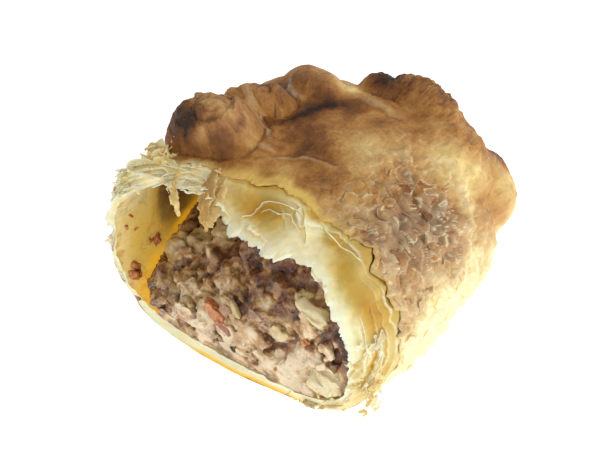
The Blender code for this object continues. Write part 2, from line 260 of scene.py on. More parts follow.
def skin_radius(theta, reach):
    """The baked skin's radius with its folds and main relief, as the solids have it."""
    start, way, turned = rays(theta, reach)
    skin = form_radius(theta, reach)
    for swelling in BODY_SWELLS:
        skin = raised(skin, start, way, swelling, SWELL_BLEND, 0)
    for fold in CRIMP_FOLDS:
        skin = raised(skin, start, way, fold, FOLD_BLEND, CREASE_DEPTH)
    rough = start + way * skin[..., None]
    relief = SWELL_HEIGHT * fractal(rough, SWELL_CELL, 2, 3)
    relief = relief + CRAG_HEIGHT * flakiness(rough) * fractal(rough, CRAG_CELL, 2, 9)
    relief = relief * ease(rough[..., 2], 1 * MM, 9 * MM)
    return skin + relief * np.cos(turned) ** 0.5


def inner_radius(theta, reach):
    """The cavity wall's radius."""
    return form_radius(theta, reach) - wall_thickness(theta, rays(theta, reach)[2])


def placed(theta, reach, radius):
    """Points at that radius along each ray, none of them under the floor."""
    start, way, _ = rays(theta, reach)
    points = start + way * radius[..., None]
    points[..., 2] = np.maximum(points[..., 2], 0)
    return points


def angles(count, low, high, share):
    """Angles round the section in radians, with a share of them between two angles in degrees."""
    dense = int(count * share)
    near = np.linspace(low, high, dense, endpoint=False)
    far = np.linspace(high, low + 360, count - dense, endpoint=False)
    return np.radians(np.concatenate([near, far]))


def round_the_tear(theta, cell, seed, octaves=1):
    """Noise along the torn rim, with its cell in metres at the rim's usual radius."""
    ring = PLAN_RADIUS * np.stack([np.cos(theta), np.sin(theta), np.zeros_like(theta)], -1)
    return fractal(ring, cell, octaves, seed)


def closed_pieces(name, rows, material, body="root", fields=None):
    """One mesh of closed forms. rows holds forms, rings, turns and coordinates: each form's rings are joined
    in order, and both of its ends are closed to a point in the middle of the end ring. Forms that come out
    inside out by their signed volume have their faces turned. fields are values at the same points."""
    forms, rings, turns = rows.shape[:3]
    ends = np.stack([rows[:, 0].mean(1), rows[:, -1].mean(1)], 1)
    points = np.concatenate([rows.reshape(forms, -1, 3), ends], 1)
    column = np.arange(turns)
    after = (column + 1) % turns
    row = np.arange(rings - 1)[:, None] * turns
    quads = np.stack([row + column, row + after, row + turns + after, row + turns + column], -1)
    quads = quads.reshape(-1, 4)
    first, last = rings * turns, rings * turns + 1
    end = (rings - 1) * turns
    head = np.stack([np.full(turns, first), after, column], -1)
    tail = np.stack([np.full(turns, last), end + column, end + after], -1)
    caps = np.concatenate([head, tail])
    corners = points[:, quads]
    volume = np.einsum("fqi,fqi->f", corners[:, :, 0], np.cross(corners[:, :, 1], corners[:, :, 2]))
    volume += np.einsum("fqi,fqi->f", corners[:, :, 0], np.cross(corners[:, :, 2], corners[:, :, 3]))
    ends_at = points[:, caps]
    volume += np.einsum("fqi,fqi->f", ends_at[:, :, 0], np.cross(ends_at[:, :, 1], ends_at[:, :, 2]))
    turned = (volume < 0)[:, None, None]
    offset = np.arange(forms)[:, None, None] * points.shape[1]
    all_quads = np.where(turned, quads[None, :, ::-1], quads[None]) + offset
    all_caps = np.where(turned, caps[None, :, ::-1], caps[None]) + offset
    loops = np.concatenate([all_quads.ravel(), all_caps.ravel()])
    sizes = np.concatenate([np.full(forms * len(quads), 4), np.full(forms * len(caps), 3)])
    mesh = bpy.data.meshes.new(name)
    mesh.vertices.add(forms * points.shape[1])
    mesh.vertices.foreach_set("co", points.ravel())
    mesh.loops.add(len(loops))
    mesh.loops.foreach_set("vertex_index", loops)
    mesh.polygons.add(len(sizes))
    mesh.polygons.foreach_set("loop_start", np.concatenate([[0], np.cumsum(sizes)[:-1]]))
    mesh.update(calc_edges=True)
    for field, values in (fields or {}).items():
        values = np.broadcast_to(values, rows.shape[:3])
        at_ends = np.stack([values[:, 0].mean(1), values[:, -1].mean(1)], 1)
        flat = np.concatenate([values.reshape(forms, -1), at_ends], 1)
        mesh.attributes.new(field, "FLOAT", "POINT").data.foreach_set("value", flat.ravel())
    mesh.shade_smooth()
    mesh.materials.append(material)
    piece = bpy.data.objects.new(name, mesh)
    bpy.context.scene.collection.objects.link(piece)
    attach(piece, body)
    return piece


def linear(red, green, blue):
    """A colour from 0 to 255 a channel as the screen shows it, made linear for the shader."""
    shown = np.array([red, green, blue]) / 255
    light = np.where(shown <= 0.04045, shown / 12.92, ((shown + 0.055) / 1.055) ** 2.4)
    return (*light.tolist(), 1.0)


class Wire:
    """A shader socket. Its operators add Math nodes, and its methods the other nodes of a material."""

    def __init__(self, tree, socket):
        self.tree = tree
        self.socket = socket

    def node(self, kind, settings, values, output=0):
        """A node of that type with its settings, then its sockets' values or links, as its output's wire."""
        made = self.tree.nodes.new(kind)
        for setting, value in settings.items():
            if setting == "stops":
                elements = made.color_ramp.elements
                while len(elements) < len(value):
                    elements.new(0.5)
                for element, (position, colour) in zip(elements, value):
                    element.position = position
                    element.color = colour
            else:
                setattr(made, setting, value)
        for place, value in values.items():
            if isinstance(value, Wire):
                self.tree.links.new(value.socket, made.inputs[place])
            else:
                made.inputs[place].default_value = value
        return Wire(self.tree, made.outputs[output])

    def math(self, operation, first, second):
        """A Math node on two values."""
        return self.node("ShaderNodeMath", {"operation": operation}, {0: first, 1: second})

    def __add__(self, other):
        return self.math("ADD", self, other)

    def __radd__(self, other):
        return self.math("ADD", other, self)

    def __sub__(self, other):
        return self.math("SUBTRACT", self, other)

    def __rsub__(self, other):
        return self.math("SUBTRACT", other, self)

    def __mul__(self, other):
        return self.math("MULTIPLY", self, other)

    def __rmul__(self, other):
        return self.math("MULTIPLY", other, self)

    def clipped(self):
        """The value held between 0 and 1."""
        return self.node("ShaderNodeClamp", {}, {"Value": self})

    def between(self, low, high):
        """0 below low, 1 above high and a smooth step between."""
        values = {"Value": self, "From Min": low, "From Max": high}
        return self.node("ShaderNodeMapRange", {"interpolation_type": "SMOOTHSTEP"}, values)

    def attribute(self, name):
        """The piece's own value of that name."""
        return self.node("ShaderNodeAttribute", {"attribute_name": name}, {}, "Fac")

    def place(self):
        """The point's Object coordinates."""
        return self.node("ShaderNodeTexCoord", {}, {}, "Object")

    def stretched(self, scale, turn=(0, 0, 0)):
        """Coordinates scaled and turned by a Mapping node."""
        return self.node("ShaderNodeMapping", {}, {"Vector": self, "Scale": scale, "Rotation": turn})

    def grain(self, size, detail=2.0, roughness=0.5, distortion=0.0):
        """Noise from 0 to 1 on these coordinates, with features of about that size in metres."""
        values = {"Vector": self, "Scale": 1 / size, "Detail": detail}
        values.update({"Roughness": roughness, "Distortion": distortion})
        return self.node("ShaderNodeTexNoise", {}, values, "Fac")

    def mixed(self, first, second):
        """Two colours, mixed by this value."""
        settings = {"data_type": "RGBA"}
        return self.node("ShaderNodeMix", settings, {0: self, 6: first, 7: second}, 2)

    def ramp(self, stops):
        """A colour for each value, by a ramp of (position, colour) stops."""
        return self.node("ShaderNodeValToRGB", {"stops": stops}, {0: self})


class Finish:
    """A material with one Principled BSDF: constants on its sockets, and wires to those that vary."""

    def __init__(self, name, **constants):
        self.material = bpy.data.materials.new(name)
        self.material.use_nodes = True
        self.tree = self.material.node_tree
        self.shader = self.tree.nodes["Principled BSDF"]
        self.wire = Wire(self.tree, None)
        for socket, value in constants.items():
            self.shader.inputs[socket.replace("_", " ")].default_value = value

    def feed(self, socket, wire):
        """Links a wire to one of the shader's sockets."""
        self.tree.links.new(wire.socket, self.shader.inputs[socket])

    def relief(self, height, depth, strength=1.0):
        """A bump of that depth in metres from a height between 0 and 1."""
        values = {"Height": height, "Distance": depth, "Strength": strength}
        self.feed("Normal", self.wire.node("ShaderNodeBump", {}, values))


def skin_finish():
    """Baked skin: from cream to dark brown by one ramp where it is smooth and golden and by another where it
    is floury and tan, with pale torn plates. By the tear the thin pastry is painted yellow and glows, and
    pale skin glows too: painted light coming through."""
    faint = {"Specular_IOR_Level": 0.25, "Emission_Strength": 1.0}
    finish = Finish("baked_skin", Subsurface_Weight=0.1, Subsurface_Scale=2 * MM, **faint)
    wire = finish.wire
    place = wire.place()
    streaks = place.stretched((0.4, 1, 0.8), (0, 0, 0.5)).grain(1.6 * MM, 3, 0.6, 0.8)
    brown = wire.attribute("brown") + 0.30 * (place.grain(5 * MM, 4, 0.62, 0.6) - 0.5)
    brown = brown + 0.20 * (place.grain(1.1 * MM, 3, 0.6) - 0.5) + 0.10 * (streaks - 0.5)
    brown = brown.clipped()
    golden = brown.ramp(
        (
            (0.00, linear(250, 236, 180)),
            (0.22, linear(236, 204, 132)),
            (0.42, linear(214, 164, 92)),
            (0.58, linear(184, 126, 60)),
            (0.74, linear(138, 86, 38)),
            (1.00, linear(58, 35, 20)),
        )
    )
    floury = brown.ramp(
        (
            (0.00, linear(250, 240, 202)),
            (0.22, linear(236, 212, 158)),
            (0.42, linear(212, 170, 112)),
            (0.58, linear(184, 134, 84)),
            (0.74, linear(140, 96, 60)),
            (1.00, linear(70, 52, 40)),
        )
    )
    colour = wire.attribute("floury").mixed(golden, floury)
    pale = wire.attribute("pale") * (0.55 + 0.9 * place.grain(1.5 * MM, 3))
    colour = pale.clipped().mixed(colour, linear(240, 224, 182))
    # Yellow by the tear is painted light coming through the thin pastry there
    thin = wire.attribute("thin") * (0.5 + 0.9 * place.grain(3 * MM, 3))
    colour = thin.clipped().mixed(colour, linear(234, 196, 104))
    finish.feed("Base Color", colour)
    # The emission is a painted glow: pale skin and the thin pastry by the tear shine as if lit from behind
    glow = (0.30 - brown).between(0.0, 0.26) + 0.35 * thin.clipped()
    finish.feed("Emission Color", glow.clipped().mixed(linear(0, 0, 0), linear(118, 100, 46)))
    finish.feed("Roughness", 0.42 + 0.3 * place.grain(2 * MM, 3))
    fine = place.grain(0.7 * MM, 4, 0.65) + 0.9 * place.grain(2.2 * MM, 3, 0.6, 1.2)
    finish.relief(fine, 0.34 * MM, 0.9)
    return finish.material


def leaf_finish():
    """Torn pastry leaves and the cavity's wall: cream, whiter on thin lips, ochre where light comes through
    and in painted shade, brown in painted shade deep under the roof, orange where the filling's fat has
    soaked in, and rusty in spots on the wall. Paler pastry, the left wall and the fat-soaked parts glow as
    painted light coming through."""
    finish = Finish("torn_pastry", Subsurface_Weight=0.3, Subsurface_Scale=3 * MM, Emission_Strength=1.0)
    wire = finish.wire
    place = wire.place()
    mottle = place.grain(4 * MM, 4, 0.6, 0.8)
    fine = place.grain(0.9 * MM, 3, 0.6)
    colour = (wire.attribute("ochre") + 0.35 * (mottle - 0.5)).clipped().ramp(
        (
            (0.0, linear(250, 244, 212)),
            (0.25, linear(236, 222, 168)),
            (0.5, linear(220, 190, 108)),
            (0.7, linear(212, 174, 76)),
            (0.85, linear(208, 156, 50)),
            # The brown end is painted shade deep in under the roof
            (1.0, linear(118, 76, 36)),
        )
    )
    stain = (wire.attribute("stain") + 0.4 * (mottle - 0.5)).clipped()
    colour = stain.mixed(colour, linear(236, 178, 42))
    rust = (place.grain(7 * MM, 4, 0.65) - 0.5).between(0.0, 0.12) * wire.attribute("specks")
    colour = (rust * 0.7).clipped().mixed(colour, linear(160, 116, 62))
    colour = (wire.attribute("lip") * (0.7 + 0.6 * fine)).clipped().mixed(colour, linear(252, 250, 232))
    speck = (place.grain(1.4 * MM, 1) - 0.72).between(0.0, 0.03) * wire.attribute("specks")
    colour = (speck * 0.75).clipped().mixed(colour, linear(138, 84, 34))
    finish.feed("Base Color", colour)
    # Emission is painted glow: paler pastry shines as if lit through, the left wall more, and the fat-soaked
    # parts orange
    lit = (wire.attribute("ochre") * 1.5).clipped().mixed(linear(76, 72, 42), linear(0, 0, 0))
    lit = wire.attribute("specks").mixed(lit, linear(124, 108, 50))
    finish.feed("Emission Color", (stain * 0.6).mixed(lit, linear(214, 158, 14)))
    finish.feed("Roughness", 0.5 + 0.25 * fine - 0.15 * stain)
    finish.relief(fine + 0.5 * place.stretched((1, 0.3, 1)).grain(1.3 * MM, 2), 0.18 * MM, 0.7)
    return finish.material


def skin_fields(brown, pale, floury, thin=0.0):
    """The values that the baked skin's finish reads. pale and thin are masks from 0 to 1, and thin marks
    where painted light comes through thin pastry: yellow and a glow.
    """
    return {"brown": brown, "pale": np.clip(pale, 0, 1), "thin": np.clip(thin, 0, 1), "floury": floury}


def leaf_fields(ochre, lip, stain=0.0, specks=0.0):
    """The masks that the torn pastry's finish reads, each from 0 to 1."""
    masks = {"ochre": ochre, "stain": stain, "lip": lip, "specks": specks}
    return {name: np.clip(mask, 0, 1) for name, mask in masks.items()}


def meat_finish():
    """Minced meat in gravy: grey-brown to red-brown with fibres and pale sinews, darker where deep as painted
    shade, and wet.
    """
    wet = {"Coat_Weight": 0.5, "Coat_Roughness": 0.16}
    finish = Finish("minced_meat", Subsurface_Weight=0.2, Subsurface_Scale=1.5 * MM, **wet)
    wire = finish.wire
    place = wire.place()
    fibres = place.stretched((1, 0.25, 0.9), (0.4, 0.2, 0.6)).grain(0.8 * MM, 3, 0.6, 0.5)
    mottle = place.grain(2.4 * MM, 4, 0.62, 0.7)
    tone = (wire.attribute("tone") + 0.5 * (mottle - 0.5) + 0.35 * (fibres - 0.5)).clipped()
    colour = tone.ramp(
        (
            (0.0, linear(46, 28, 20)),
            (0.25, linear(98, 62, 38)),
            (0.5, linear(156, 114, 72)),
            (0.75, linear(206, 166, 106)),
            (1.0, linear(240, 220, 182)),
        )
    )
    red = wire.attribute("red") + 0.3 * (mottle - 0.5)
    colour = (red.clipped() * 0.55).mixed(colour, linear(150, 78, 48))
    threads = place.stretched((0.3, 1, 1), (0, 0.5, 0)).grain(0.9 * MM, 3, 0.6, 0.9)
    sinew = (threads - 0.5).between(0.0, 0.16) * wire.attribute("sinew")
    colour = (sinew * 0.8).clipped().mixed(colour, linear(238, 222, 200))
    finish.feed("Base Color", colour)
    finish.feed("Roughness", 0.32 + 0.3 * fibres)
    finish.relief(fibres + 0.6 * place.grain(0.5 * MM, 3), 0.3 * MM, 0.9)
    return finish.material


def potato_finish():
    """Cooked potato: grey-yellow, slightly clear, and darker in its hollows."""
    wet = {"Coat_Weight": 0.4, "Coat_Roughness": 0.2}
    finish = Finish("cooked_potato", Subsurface_Weight=0.4, Subsurface_Scale=2.5 * MM, **wet)
    wire = finish.wire
    place = wire.place()
    mottle = place.grain(2.0 * MM, 4, 0.6, 0.5)
    tone = (wire.attribute("tone") + 0.7 * (mottle - 0.5)).clipped()
    colour = tone.ramp(
        (
            (0.0, linear(92, 66, 40)),
            (0.3, linear(156, 124, 80)),
            (0.6, linear(204, 176, 120)),
            (1.0, linear(240, 224, 176)),
        )
    )
    finish.feed("Base Color", colour)
    finish.feed("Roughness", 0.3 + 0.3 * mottle)
    finish.relief(place.grain(0.9 * MM, 4, 0.6), 0.4 * MM, 0.9)
    return finish.material


def root_finish():
    """Cooked carrot and swede: orange to red-orange."""
    wet = {"Coat_Weight": 0.4, "Coat_Roughness": 0.2}
    finish = Finish("cooked_root", Subsurface_Weight=0.3, Subsurface_Scale=1.5 * MM, **wet)
    wire = finish.wire
    place = wire.place()
    mottle = place.grain(1.6 * MM, 3, 0.6, 0.5)
    finish.feed("Base Color", mottle.between(0.3, 0.7).mixed(linear(158, 84, 44), linear(224, 146, 74)))
    finish.feed("Roughness", 0.3 + 0.3 * mottle)
    finish.relief(place.grain(0.6 * MM, 3), 0.2 * MM, 0.7)
    return finish.material


# Patches of the baked skin, as x, y, z and radius in mm and how much browner or paler they are
# Some were browned by the oven, and some are painted shade on shaded faces and painted highlights where light
# falls
SKIN_TONE_AND_LIGHT_PATCHES = (
    ((-40, -20, 62), 8, 0.42),
    ((-37, -15, 67), 4, -0.22),
    ((-34, -22, 64), 6, 0.18),
    ((-31.5, -22.5, 62), 3, -0.45),
    ((-25, -21, 58), 6, 0.24),
    ((-31, -14, 66), 6, -0.16),
    ((-32, 1, 61), 4, -0.16),
    ((-29, 6, 63), 4, 0.12),
    ((-33, 17, 58), 6, 0.30),
    ((-24, 21, 59), 6, 0.02),
    ((-17, 20, 59), 5, 0.12),
    ((-12, 29, 57.5), 4, -0.32),
    ((4, 36, 57), 9, -0.04),
    ((17, 35, 57), 6, -0.02),
    ((-13, 13, 58), 8, 0.28),
    ((-10, 0, 58), 7, 0.22),
    ((0, -4, 59), 6, 0.18),
    ((0, 8, 59), 5, -0.06),
    ((-12, -11, 58), 6, 0.14),
    ((-5, -17, 57), 5, -0.24),
    ((13, 4, 58), 9, -0.26),
    ((18, -16, 56), 9, -0.16),
    ((34, -13, 50), 9, 0.12),
    ((36, 2, 47), 8, 0.20),
    ((41, -17, 45), 7, 0.16),
    ((35, 17, 50), 8, -0.34),
    ((40, 14, 43), 6, -0.28),
    ((46, 10, 32), 8, -0.36),
    ((42, 36, 38), 7, -0.32),
    ((36, 43, 42), 4, 0.30),
    ((-5, 38.5, 54.5), 6, 0.75),
    ((28, 20, 54), 6, -0.14),
    ((37, 26, 47), 6, -0.24),
    ((50, -12, 25), 11, -0.36),
    ((50, -20, 18), 15, -0.36),
)

# Lines on the skin, as places of theta in degrees and reach in mm. A step stands up on the left of its path:
# its height, how wide its edge is and how far back it falls away, in mm. A valley has a depth and a half
# width, and a streak how much browner it is and a half width
PATH_KNOTS = 15
PATH_TAPER = 0.2
PATH_WANDER = 0.8 * MM
SKIN_STEPS = (
    (((131, 7), (130.5, 3), (129, 1), (125, -2.5), (120, -6.5), (116, -8.7), (112, -11)), 1.3, 0.6, 4),
    (((107, -13), (111, -14.5), (115, -14.2), (121, -16)), 0.9, 0.4, 3),
    (((66, 18), (80, 19.3), (93, 19.7), (108, 20.5)), 0.8, 0.5, 6),
    (((113, -22), (107, -15.5), (95, -11), (81, -9), (71, -9.5), (66, -12)), 0.7, 2.2, 6),
    (((119, 12), (124, 11.5), (129, 12.5), (135, 17)), 1.4, 0.5, 3),
    (((65, 16), (57, 10), (53, 4.7), (51, -1)), 0.7, 0.4, 4),
    (((49, 17), (38, 12.6), (32, 8), (28, -2)), 0.9, 1.2, 5),
    (((60, -4), (56, -7), (50, -9), (44, -8), (40, -12)), 0.8, 0.4, 4),
    (((30, -20), (36, -16), (44, -17), (52, -14)), 0.9, 0.5, 5),
    (((38, -24), (45, -23), (51, -20), (58, -22), (67, -20)), 1.0, 0.5, 5),
    (((12, -27), (20, -26), (27, -23), (34, -26), (43, -25)), 1.0, 0.5, 5),
    (((8, -19), (15, -16), (22, -18), (30, -14)), 1.0, 0.5, 5),
    (((30, -6), (36, -9), (43, -7), (50, -4)), 0.9, 0.5, 4),
    (((38, 2), (32, -3), (26, -4), (18, -8)), 0.7, 0.4, 4),
)
SKIN_VALLEYS = (
    (((134, 9.5), (128, 7.5), (123, 5), (118, 1.5)), 2.0, 2.6),
    (((134, -4), (128, -8), (123, -12.5), (120, -17)), 1.5, 1.6),
    (((128, 4), (124, 8), (122, 12)), 1.6, 1.8),
    (((102, -9), (90, -6), (78, -7), (70, -9)), 0.6, 2.5),
    (((126, -24), (121, -21), (114, -19)), 0.7, 1.4),
)
BROWN_STREAKS = (
    (((119, -7), (116, 5), (110, 13), (100, 17.5), (82, 17.6)), 0.30, 3.0),
    (((106, -12), (96, -7), (84, -4)), 0.16, 3.0),
    (((126, -3), (120, 3), (114, 4)), 0.22, 3.0),
    (((100, 24), (90, 23.5), (76, 23)), 0.22, 2.2),
    (((114, -24), (106, -18), (94, -14), (80, -12)), 0.12, 2.2),
)


def path_distance(theta, reach, path):
    """How far each place is from a smoothed path, laid out flat, and a share that fades the path's line out.
    The distance is to the nearest leg of the path, positive on its left. The share is the distance square
    to that leg over the distance, and a bell takes it down to 0 at both ends of the path."""
    flat = placed(theta, reach, 0 * reach + PLAN_RADIUS)
    wander = [PATH_WANDER * noise(flat, 3 * MM, seed) for seed in (341, 343)]
    at = np.stack([theta * PLAN_RADIUS + wander[0], reach + wander[1]], -1)
    fine, given = np.linspace(0, 1, PATH_KNOTS), np.linspace(0, 1, len(path))
    columns = [smoothed(np.interp(fine, given, column), 2) for column in np.array(path, float).T]
    knots = np.stack(columns, -1) * [np.radians(1) * PLAN_RADIUS, MM]
    nearest = np.full(theta.shape, np.inf)
    square = np.zeros(theta.shape)
    for start, leg in zip(knots, np.diff(knots, axis=0)):
        away = at - start
        share = np.clip(away @ leg / (leg @ leg), 0, 1)
        gap = away - share[..., None] * leg
        left = (away[..., 1] * leg[0] - away[..., 0] * leg[1]) / np.hypot(*leg)
        distance = np.hypot(gap[..., 0], gap[..., 1]) + 1e-9
        closer = distance < np.abs(nearest)
        nearest = np.where(closer, np.copysign(distance, left), nearest)
        square = np.where(closer, np.abs(left) / distance, square)
    taper = PATH_TAPER * np.hypot(*np.diff(knots, axis=0).T).sum()
    for end in (knots[0], knots[-1]):
        square = square * (1 - np.exp(-((at - end) ** 2).sum(-1) / taper**2))
    return nearest, square


def skin_lines(theta, reach):
    """The skin's named steps and valleys as a height in metres, and masks for their pale edges and for
    painted shade at their feet. A step is an eased rise to the left of its path that falls away behind."""
    height, edge, foot = np.zeros((3, *theta.shape))
    for path, step, width, spread in SKIN_STEPS:
        side, there = path_distance(theta, reach, path)
        side = side / MM
        lifted = ease(side, -width / 2, width / 2) * np.exp(-np.clip(side, 0, None) / spread)
        height = height + step * MM * there * lifted
        edge = np.maximum(edge, step * there * bump(side, 0.3 * width, 0.6))
        foot = np.maximum(foot, there * bump(side, -0.9, 0.9))
    for path, depth, width in SKIN_VALLEYS:
        side, there = path_distance(theta, reach, path)
        height = height - depth * MM * there * bump(side / MM, 0, width)
    return height, edge, foot


def streaks(theta, reach):
    """How much browner the skin is along its named streaks."""
    change = np.zeros(theta.shape)
    for path, darker, width in BROWN_STREAKS:
        side, there = path_distance(theta, reach, path)
        change = change + darker * there * bump(side / MM, 0, width)
    return change


BROWN_CROWN = 0.54
BROWN_LOW = 0.56
FLOURY_FOLDS = 0.75


def browning_and_painted_light(points):
    """How brown the skin is at each point, from 0 for cream to 1 for dark brown: even on top with broad and
    fine noise, paler low down on the right, partly less baked and partly painted light, with patches as soft
    bells, some from the oven and some painted shade and highlights."""
    brown = BROWN_CROWN + 0.09 * fractal(points, 14 * MM, 3, 41)
    brown = brown + 0.07 * fractal(warped(points, 5 * MM, 3 * MM, 45), 4 * MM, 2, 47)
    # Paler low down on the right: partly less baked, partly painted light where the lit table below floods
    # that side
    low = ease(37 * MM - points[..., 2], 0, 25 * MM)
    brown = brown - BROWN_LOW * low * ease(points[..., 0], -30 * MM, 30 * MM)
    return brown + bells(points, SKIN_TONE_AND_LIGHT_PATCHES)


def bells(points, patches):
    """The changes of some patches at each point, as soft bells, added up."""
    total = 0.0
    for centre, radius, change in patches:
        away = ((points - np.array(centre) * MM) ** 2).sum(-1)
        total = total + change * np.exp(-away / (radius * MM) ** 2)
    return total


def floury_share(points):
    """How floury and tan the skin is: 0 on the golden crown, more on the folds, 1 down the right side."""
    folds = ease(points[..., 2], 57 * MM, 63 * MM) * FLOURY_FOLDS
    side = ease(points[..., 0] - 0.5 * points[..., 1], 22 * MM, 42 * MM)
    return np.maximum(folds, side)


PLATE_CELL = 7.5 * MM
PLATE_LEVELS = 1.6
PLATE_STEP = 0.5 * MM
RISER_START = 0.80
CRUMPLE_CELL = 6 * MM
CRUMPLE_HEIGHT = 1.8 * MM
CRACK_CELL = 7 * MM
CRACK_DEPTH = 0.32 * MM
WRINKLE_CELL = 3.2 * MM
WRINKLE_HEIGHT = 0.26 * MM
PLEAT_CELL = 7 * MM
PLEAT_HEIGHT = 1.9 * MM
CREASE_CELL = 1.8 * MM
CREASE_HEIGHT = 0.4 * MM
# The usual value of a noise's size, taken off so that lumps neither swell nor shrink the skin
USUAL_SIZE = 0.35
# A turn askew of all three axes, so that the plates and cracks don't follow the noise's lattice
ASKEW = np.array([[2, 2, -1], [-1, 2, 2], [2, -1, 2]]) / 3


def skin_detail(points, folded):
    """Fine relief of the skin in metres, its pale mask and its dark mask. Plates are terraces of a warped
    noise: level ground and a short riser from each level to the next. Crumples are the size of a second
    noise: round lumps with sharp valleys. Cracks are thin valleys where a third noise passes through zero.
    All grow with the flakiness, and the crown has low wrinkles instead. The crimp folds have pleats, made as
    the crumples are, and fine creases. Risers are pale, and so are the crumples' tops as painted highlight;
    the dark mask is painted shade in valleys, cracks and creases."""
    flaky = flakiness(points) * ease(points[..., 2], 4 * MM, 14 * MM)
    flaky = flaky * (1 - 0.8 * ease(points[..., 1], 10 * MM, 24 * MM))
    torn = warped(points @ ASKEW, 5 * MM, 1.5 * MM, 51)
    level = fractal(torn, PLATE_CELL, 3, 61) * PLATE_LEVELS
    ground = np.floor(level)
    rise = level - ground
    riser = ease(rise, RISER_START, 1.0)
    plates = ground + riser - 0.15 * bump(rise, RISER_START, 0.07)
    crack = bump(noise(warped(points @ ASKEW, 4 * MM, 2.5 * MM, 71), CRACK_CELL, 81), 0, 0.06)
    crack = crack * ease(noise(points, 9 * MM, 83), 0.1, 0.5)
    wrinkles = fractal(points * np.array([1.0, 0.45, 1.0]), WRINKLE_CELL, 3, 91)
    height = flaky * PLATE_STEP * plates - (0.05 + 0.95 * flaky) * CRACK_DEPTH * crack
    height = height + (1 - 0.8 * flaky) * WRINKLE_HEIGHT * wrinkles
    crumples = np.abs(fractal(torn, CRUMPLE_CELL, 3, 63))
    height = height + flaky * CRUMPLE_HEIGHT * (crumples - USUAL_SIZE)
    pleats = np.abs(fractal(warped(points, 6 * MM, 3 * MM, 93), PLEAT_CELL, 3, 95))
    creased = warped(points * np.array([1.0, 0.5, 1.0]), 2 * MM, 1 * MM, 97)
    creases = folded * np.exp(-np.abs(fractal(creased, CREASE_CELL, 2, 99)) / 0.2)
    height = height + folded * PLEAT_HEIGHT * (pleats - USUAL_SIZE) - CREASE_HEIGHT * creases
    pale = riser * (1 - ease(rise, 0.97, 1.0)) + 0.2 * ease(-plates, 0.0, 1.6)
    # Pale on the crumples' tops is painted highlight
    pale = flaky * (pale + 0.25 * ease(crumples, 0.4, 0.9))
    # The dark mask is painted shade: it browns the skin in cracks, creases and the valleys of crumples and
    # pleats
    dark = crack + 1.2 * creases + 1.6 * flaky * bump(crumples, 0, 0.12)
    dark = dark + 1.5 * folded * bump(pleats, 0, 0.14)
    return height, np.clip(pale, 0, 1), dark


SKIN_TURNS = 640
SKIN_ROWS = 130
SKIN_UNDER_ROWS = 24
SKIN_THICKNESS = 0.9 * MM
SKIN_THICKNESS_BACK = 2.4 * MM
SKIN_RIM = 0.35 * MM
LOBE_CELL = 7 * MM
LOBE_REACH = 3.4 * MM
RAG_CELL = 1.5 * MM
RAG_REACH = 0.8 * MM
TEAR_FADE = 3.2 * MM
RELIEF_LOST = 0.65
CURL_CELL = 7 * MM
CURL_HEIGHT = 0.5 * MM
SKIN_LIP_WIDTH = 0.6 * MM


def skin_edge_at(theta):
    """The browned skin's edge: the solids' own edge with scalloped lobes and fine rags added."""
    shown = ease(np.sin(theta), -0.6, 0.1)
    lobes = LOBE_REACH * np.abs(round_the_tear(theta, LOBE_CELL, 101, 2))
    rags = RAG_REACH * round_the_tear(theta, RAG_CELL, 103, 3)
    right = 0.45 + 0.25 * ease(np.cos(theta), 0.1, 0.5)
    return torn_edge(theta, SKIN_EDGE, 21) + shown * right * (lobes - 1.3 * MM + rags)


def full_skin_radius(theta, reach, edge):
    """The skin's radius with its fine relief, its pale mask, and its dark mask of painted shade. Within a few
    mm of the tear the relief is lower and the skin is lifted or tucked a little."""
    radius = skin_radius(theta, reach)
    points = placed(theta, reach, radius)
    folded = ease(radius - form_radius(theta, reach), 1.5 * MM, 7 * MM)
    folded = folded * ease(points[..., 2], 40 * MM, 50 * MM)
    height, pale, dark = skin_detail(points, folded)
    near = np.exp(-np.clip(reach - edge, 0, None) / TEAR_FADE)
    curl = CURL_HEIGHT * (round_the_tear(theta, CURL_CELL, 107, 2) - 1)
    curl = curl * ease(np.sin(theta), -0.3, 0.2)
    lines, line_edge, line_foot_shade = skin_lines(theta, reach)
    radius = radius + (height + lines) * (1 - RELIEF_LOST * near) + near * curl
    return radius, np.maximum(pale, 0.35 * line_edge), dark + line_foot_shade


